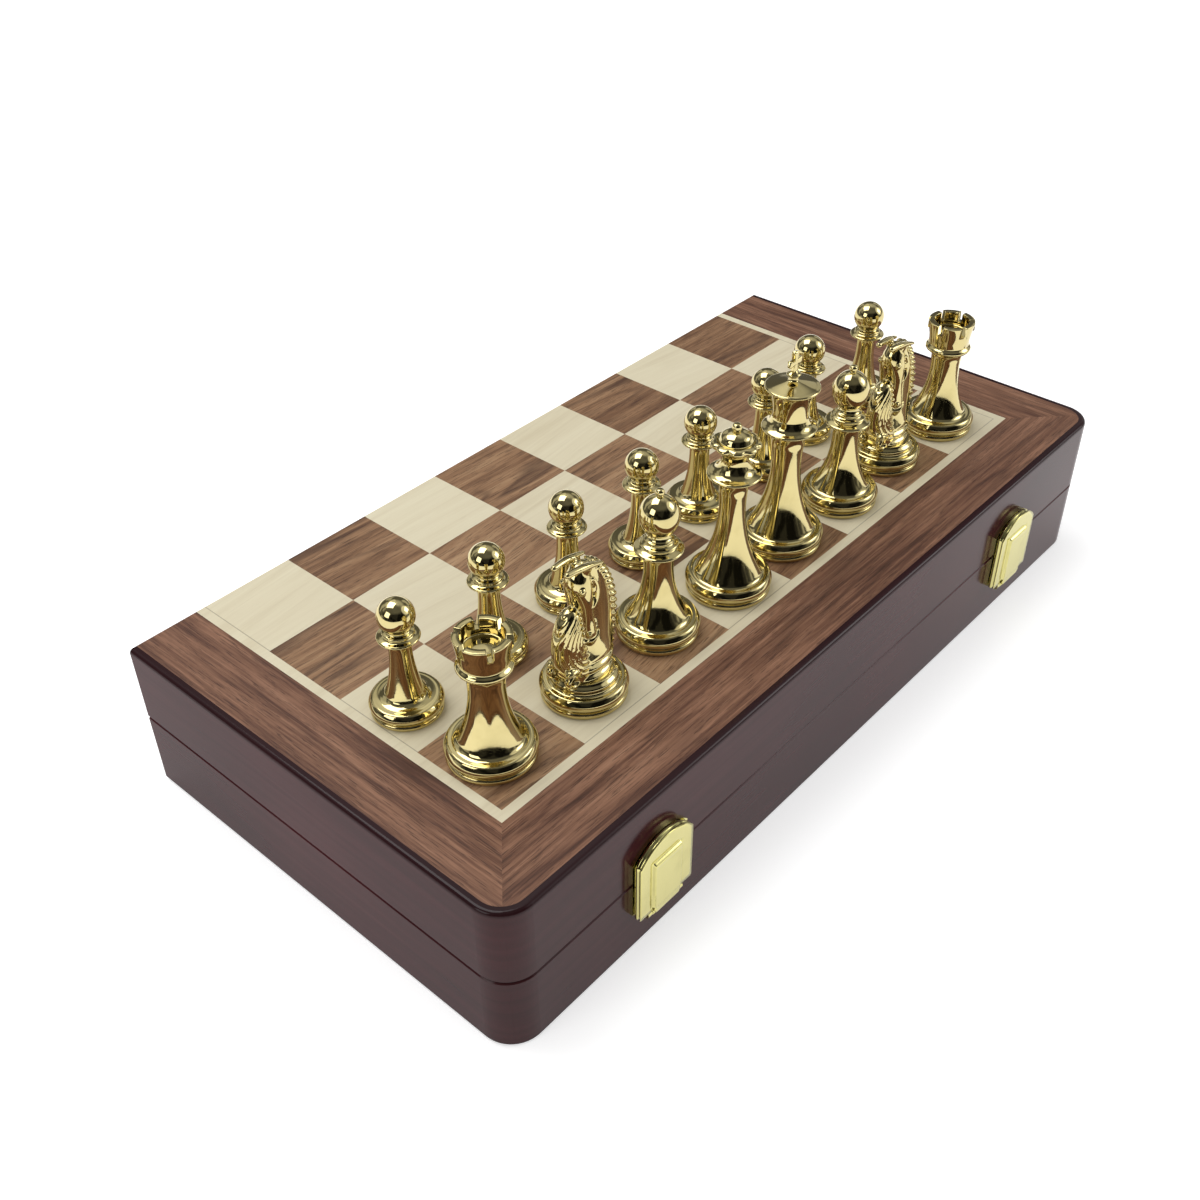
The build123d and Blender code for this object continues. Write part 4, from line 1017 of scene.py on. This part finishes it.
# %% One skin on a turned foot
def melted(shell, voxel, passes):
    """Turn overlapping shells into one skin with a voxel remesh, then relax it a little."""
    draft = shell_object("horse_draft", shell, GOLD)
    fuse = draft.modifiers.new("fuse", "REMESH")
    fuse.mode = "VOXEL"
    fuse.voxel_size = voxel * MM
    relax = draft.modifiers.new("relax", "SMOOTH")
    relax.iterations = passes
    relax.factor = 0.5
    mesh = bpy.data.meshes.new_from_object(draft.evaluated_get(bpy.context.evaluated_depsgraph_get()))
    points = np.zeros(len(mesh.vertices) * 3)
    mesh.vertices.foreach_get("co", points)
    corners = np.zeros(len(mesh.loops), int)
    mesh.loops.foreach_get("vertex_index", corners)
    bpy.data.objects.remove(draft)
    bpy.data.meshes.remove(mesh)
    return points.reshape(-1, 3) / MM, [corners.reshape(-1, 4)]


KNIGHT_FOOT = foot("knight", 9.4, 2.0, 3.8) + [(8.9, 8.6, 0.3), (8.3, 9.4, -0.1), (0, 9.5)]
HORSE = melted(horse(), 0.30, 2)
knight_points, knight_groups = merge([turned(KNIGHT_FOOT, ROUND, count=90), HORSE])
# The tables face right. Half a turn makes the knight face the left end, as in the photograph.
SHAPES["knight"] = (knight_points * (-1, -1, 1), knight_groups)
print("knight:", len(knight_points), "points,", round(knight_points[:, 2].max(), 2), "mm tall")

# %% [markdown]
# ## Setting the pieces out
#
# Where a piece stands is read from the frame: its foot is the widest part, so the middle of the
# node's box is the middle of the piece. Each stands on a felt disc that sits in its foot.


# %% Gold army
def felt_disc(radius):
    """A thin felt disc in the foot's recess, with a rounded lower edge."""
    upper = FELT_THICK - 0.01
    moves = [(0, 0.02), (radius - 0.25, 0.02), (radius - 0.05, 0.25, 0.05), (radius - 0.05, upper),
             (0, upper)]
    return turned(moves, even_angles(48), soft=0.06, count=24)


def standing_place(name):
    """The middle of the node's box in X and Y, and the bottom of it in Z."""
    low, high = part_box(name)
    return (low[0] + high[0]) / 2 / MM, (low[1] + high[1]) / 2 / MM, low[2] / MM


PADS = {kind: felt_disc(radius - FELT_INSET) for kind, radius in RADII.items()}
gold_names = [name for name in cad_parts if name.startswith("gold_")]
for name in gold_names:
    kind = next(kind for kind in RADII if kind in name)
    place, body = standing_place(name), name + "_piece"
    set_out(name + "_polished", moved(SHAPES[kind], place), GOLD, body, name)
    set_out(name + "_felt", moved(PADS[kind], place), FOOT_FELT, body)
print("gold pieces set out:", len(gold_names))

# %% [markdown]
# ## The other army, put away
#
# The silver pieces lie in the lower tray with their heads to the front. Laying a piece down is a
# quarter turn about X: (x, y, z) becomes (x, -z, y). All pieces of one kind are one object, as in
# the frame.

# %% Silver army
BACK_ROW = ("rook", "knight", "bishop", "queen", "king", "bishop", "knight", "rook")
CELL_FIRST_X = -125.3875
CELL_PITCH = 35.825
BACK_ROW_FOOT_Y = 10.15
PAWN_FOOT_Y = 64.15
TRAY_FACE_Z = 6.4
stowed_shells = {}
for number, kind in enumerate(BACK_ROW):
    for piece_kind, foot_y in ((kind, BACK_ROW_FOOT_Y), ("pawn", PAWN_FOOT_Y)):
        place = (CELL_FIRST_X + CELL_PITCH * number, foot_y, TRAY_FACE_Z + RADII[piece_kind])
        for part, (points, groups) in (("polished", SHAPES[piece_kind]), ("felt", PADS[piece_kind])):
            lying = np.stack([points[:, 0], -points[:, 2], points[:, 1]], axis=1) + place
            stowed_shells.setdefault((piece_kind, part), []).append((lying, groups))
for (kind, part), shells in stowed_shells.items():
    node = "silver_" + kind + "s" * (len(shells) > 1)
    if part == "polished":
        set_out(node + "_polished", merge(shells), SILVER, "lower_half", node)
    else:
        set_out(node + "_felt", merge(shells), FOOT_FELT, "lower_half")
print("silver pieces put away:", len(stowed_shells) // 2, "kinds")

# %% [markdown]
# ## Clasp covers
#
# A clasp cover is pressed from sheet brass: a shallow lid with a grooved edge, a raised panel with a
# lip on its top edge, and a curl that the pin runs through. The lid is made of rings: each is the
# arched outline shrunk towards its middle, and a table says how far out of the case it stands.

# %% Sizes of the clasp
CLASP_X = 94.0
FRONT_FACE_Y = -75.0
COVER_HALF = 10.8  # half the width of the cover
COVER_FOOT = 14.0
COVER_SHOULDER = 34.0  # where the arch begins
COVER_TOP = 39.5
COVER_MIDDLE = (0.0, 26.5)
FACE_OUT, BACK_OUT = 3.1, 2.7  # the two sides of the sheet, out from the front of the case
PANEL_HALF, PANEL_TOP, LIP_Z = 5.6, 32.3, 31.3
GROOVE_X, GROOVE_TOP = 6.0, 32.7
PIN_OUT, PIN_Z = 1.9, 12.8
CURL_HALF = 5.35  # half the length of the curl
print("clasp cover:", 2 * COVER_HALF, "by", COVER_TOP - COVER_FOOT, "mm")


# %% Outline and relief of the cover
def arched_outline(count):
    """An even walk round a rectangle whose top is an arc, with its corners slightly rounded."""
    rise = COVER_TOP - COVER_SHOULDER
    radius = (COVER_HALF ** 2 + rise ** 2) / (2 * rise)
    half_angle = np.arcsin(COVER_HALF / radius)
    t = np.linspace(-half_angle, half_angle, 200)
    arch = np.stack([radius * np.sin(t), COVER_TOP - radius + radius * np.cos(t)], axis=1)
    corners = np.array([[COVER_HALF, COVER_FOOT], [-COVER_HALF, COVER_FOOT]])
    line = np.concatenate([arch, corners, arch[:1]])
    marks = distances(line)
    fine, reach = 1200, 12
    dense = read_at(np.linspace(0, marks[-1], fine, endpoint=False), marks, line)
    wrapped = np.concatenate([dense[-reach:], dense, dense[:reach]])
    return averaged(wrapped, bell(np.arange(-reach, reach + 1) / 5.0))[::fine // count]


def soft_step(value, width):
    """0 below zero and 1 above it, with a smooth rise of the given width."""
    t = np.clip(value / width + 0.5, 0, 1)
    return t * t * (3 - 2 * t)


def pressed_relief(x, z):
    """The raised panel inside a groove, with a thin lip along its top edge."""
    inside = soft_step(PANEL_HALF - np.abs(x), 0.55)
    panel = inside * soft_step(PANEL_TOP - z, 0.9)
    lip = inside * np.exp(-((z - LIP_Z) / 0.45) ** 2)
    groove = np.exp(-((np.abs(x) - GROOVE_X) / 0.40) ** 2) * soft_step(GROOVE_TOP - z, 0.5)
    return 0.86 * panel + 0.12 * lip - 0.22 * groove


print("outline:", len(arched_outline(240)), "points")


# %% Lid
def pressed_cover():
    """Rings (way in from the edge, way out of the case) over the face to the edge, into a groove
    and out of it, round the rim and the inner corner, and over the back."""
    outline = arched_outline(240)
    quarter = np.linspace(0, np.pi / 2, 9)
    face = [np.linspace(11.6, 1.0, 64), np.full(64, FACE_OUT)]
    slope = [0.9 - 0.9 * np.sin(quarter[::-1]), BACK_OUT + 0.4 * np.cos(quarter)]
    rim = [(0.0, 2.2), (0.0, 1.32), (0.12, 1.2), (0.78, 1.2), (0.9, 1.32), (0.9, 2.0)]
    corner = [1.4 - 0.5 * np.cos(quarter), 2.2 + 0.5 * np.sin(quarter)]
    back = [np.linspace(2.0, 11.6, 24), np.full(24, BACK_OUT)]
    rings = np.concatenate([face, slope, np.transpose(rim), corner, back], axis=1)
    way_in, way_out = rings[:, :, None]
    shrink = np.clip(1 - way_in / 11.7, 0.004, 1)
    x = COVER_MIDDLE[0] + (outline[:, 0] - COVER_MIDDLE[0]) * shrink
    z = COVER_MIDDLE[1] + (outline[:, 1] - COVER_MIDDLE[1]) * shrink
    y = FRONT_FACE_Y - way_out - (way_in > 1.2) * pressed_relief(x, z)
    return tube_shell(np.stack([x, y, z], axis=-1))


LID = pressed_cover()
print("lid:", len(LID[0]), "points")


# %% Curl, strap and bead
def rounded_bar(low, high, square=0.35):
    """A bar between two corners, along X, whose section is a boxy oval."""
    low, high = np.array(low, float), np.array(high, float)
    middle, half = (low + high) / 2, (high - low) / 2
    v = even_angles(40)
    t = np.linspace(-1, 1, 25)[:, None]
    close = rounded_ends(t, 24)
    y = middle[1] + half[1] * boxy(np.cos(v), square) * close
    z = middle[2] + half[2] * boxy(np.sin(v), square) * close
    return tube_shell(np.stack([np.repeat(middle[0] + half[0] * t, 40, 1), y, z], axis=-1))


def curl(pin_r, outer_r, half):
    """The rolled foot of the cover: a thick tube round the pin, its section walked once round."""
    loop = even_angles(48)
    ring = np.array([(pin_r, -half), (outer_r - 0.15, -half), (outer_r, -half + 0.15),
                     (outer_r, half - 0.15), (outer_r - 0.15, half), (pin_r, half)])
    x = np.repeat(ring[:, 1:], 48, 1)
    y = FRONT_FACE_Y - PIN_OUT + ring[:, :1] * np.cos(loop)
    z = PIN_Z + ring[:, :1] * np.sin(loop)
    index = np.arange(len(ring) * 48).reshape(-1, 48)
    after = np.roll(index, -1, axis=0)
    faces = np.stack([index, np.roll(index, -1, axis=1), np.roll(after, -1, axis=1), after], axis=-1)
    return np.stack([x, y, z], axis=-1).reshape(-1, 3), [faces.reshape(-1, 4)]


front = FRONT_FACE_Y
strap = rounded_bar((-CURL_HALF, front - 3.85, 12.9), (CURL_HALF, front - 2.95, 17.5))
catch = rounded_bar((-4.0, front - 2.75, 28.35), (4.0, front - 1.55, 29.25), 0.8)
cover_shell = merge([LID, curl(0.65, 1.4, CURL_HALF), strap, catch])
for side, name in ((-1, "left"), (1, "right")):
    set_out(name + "_clasp_cover_pressed", moved(cover_shell, (CLASP_X * side, 0, 0)), BRASS,
            name + "_clasp", name + "_clasp_cover")
print("clasp covers:", len(cover_shell[0]), "points each")
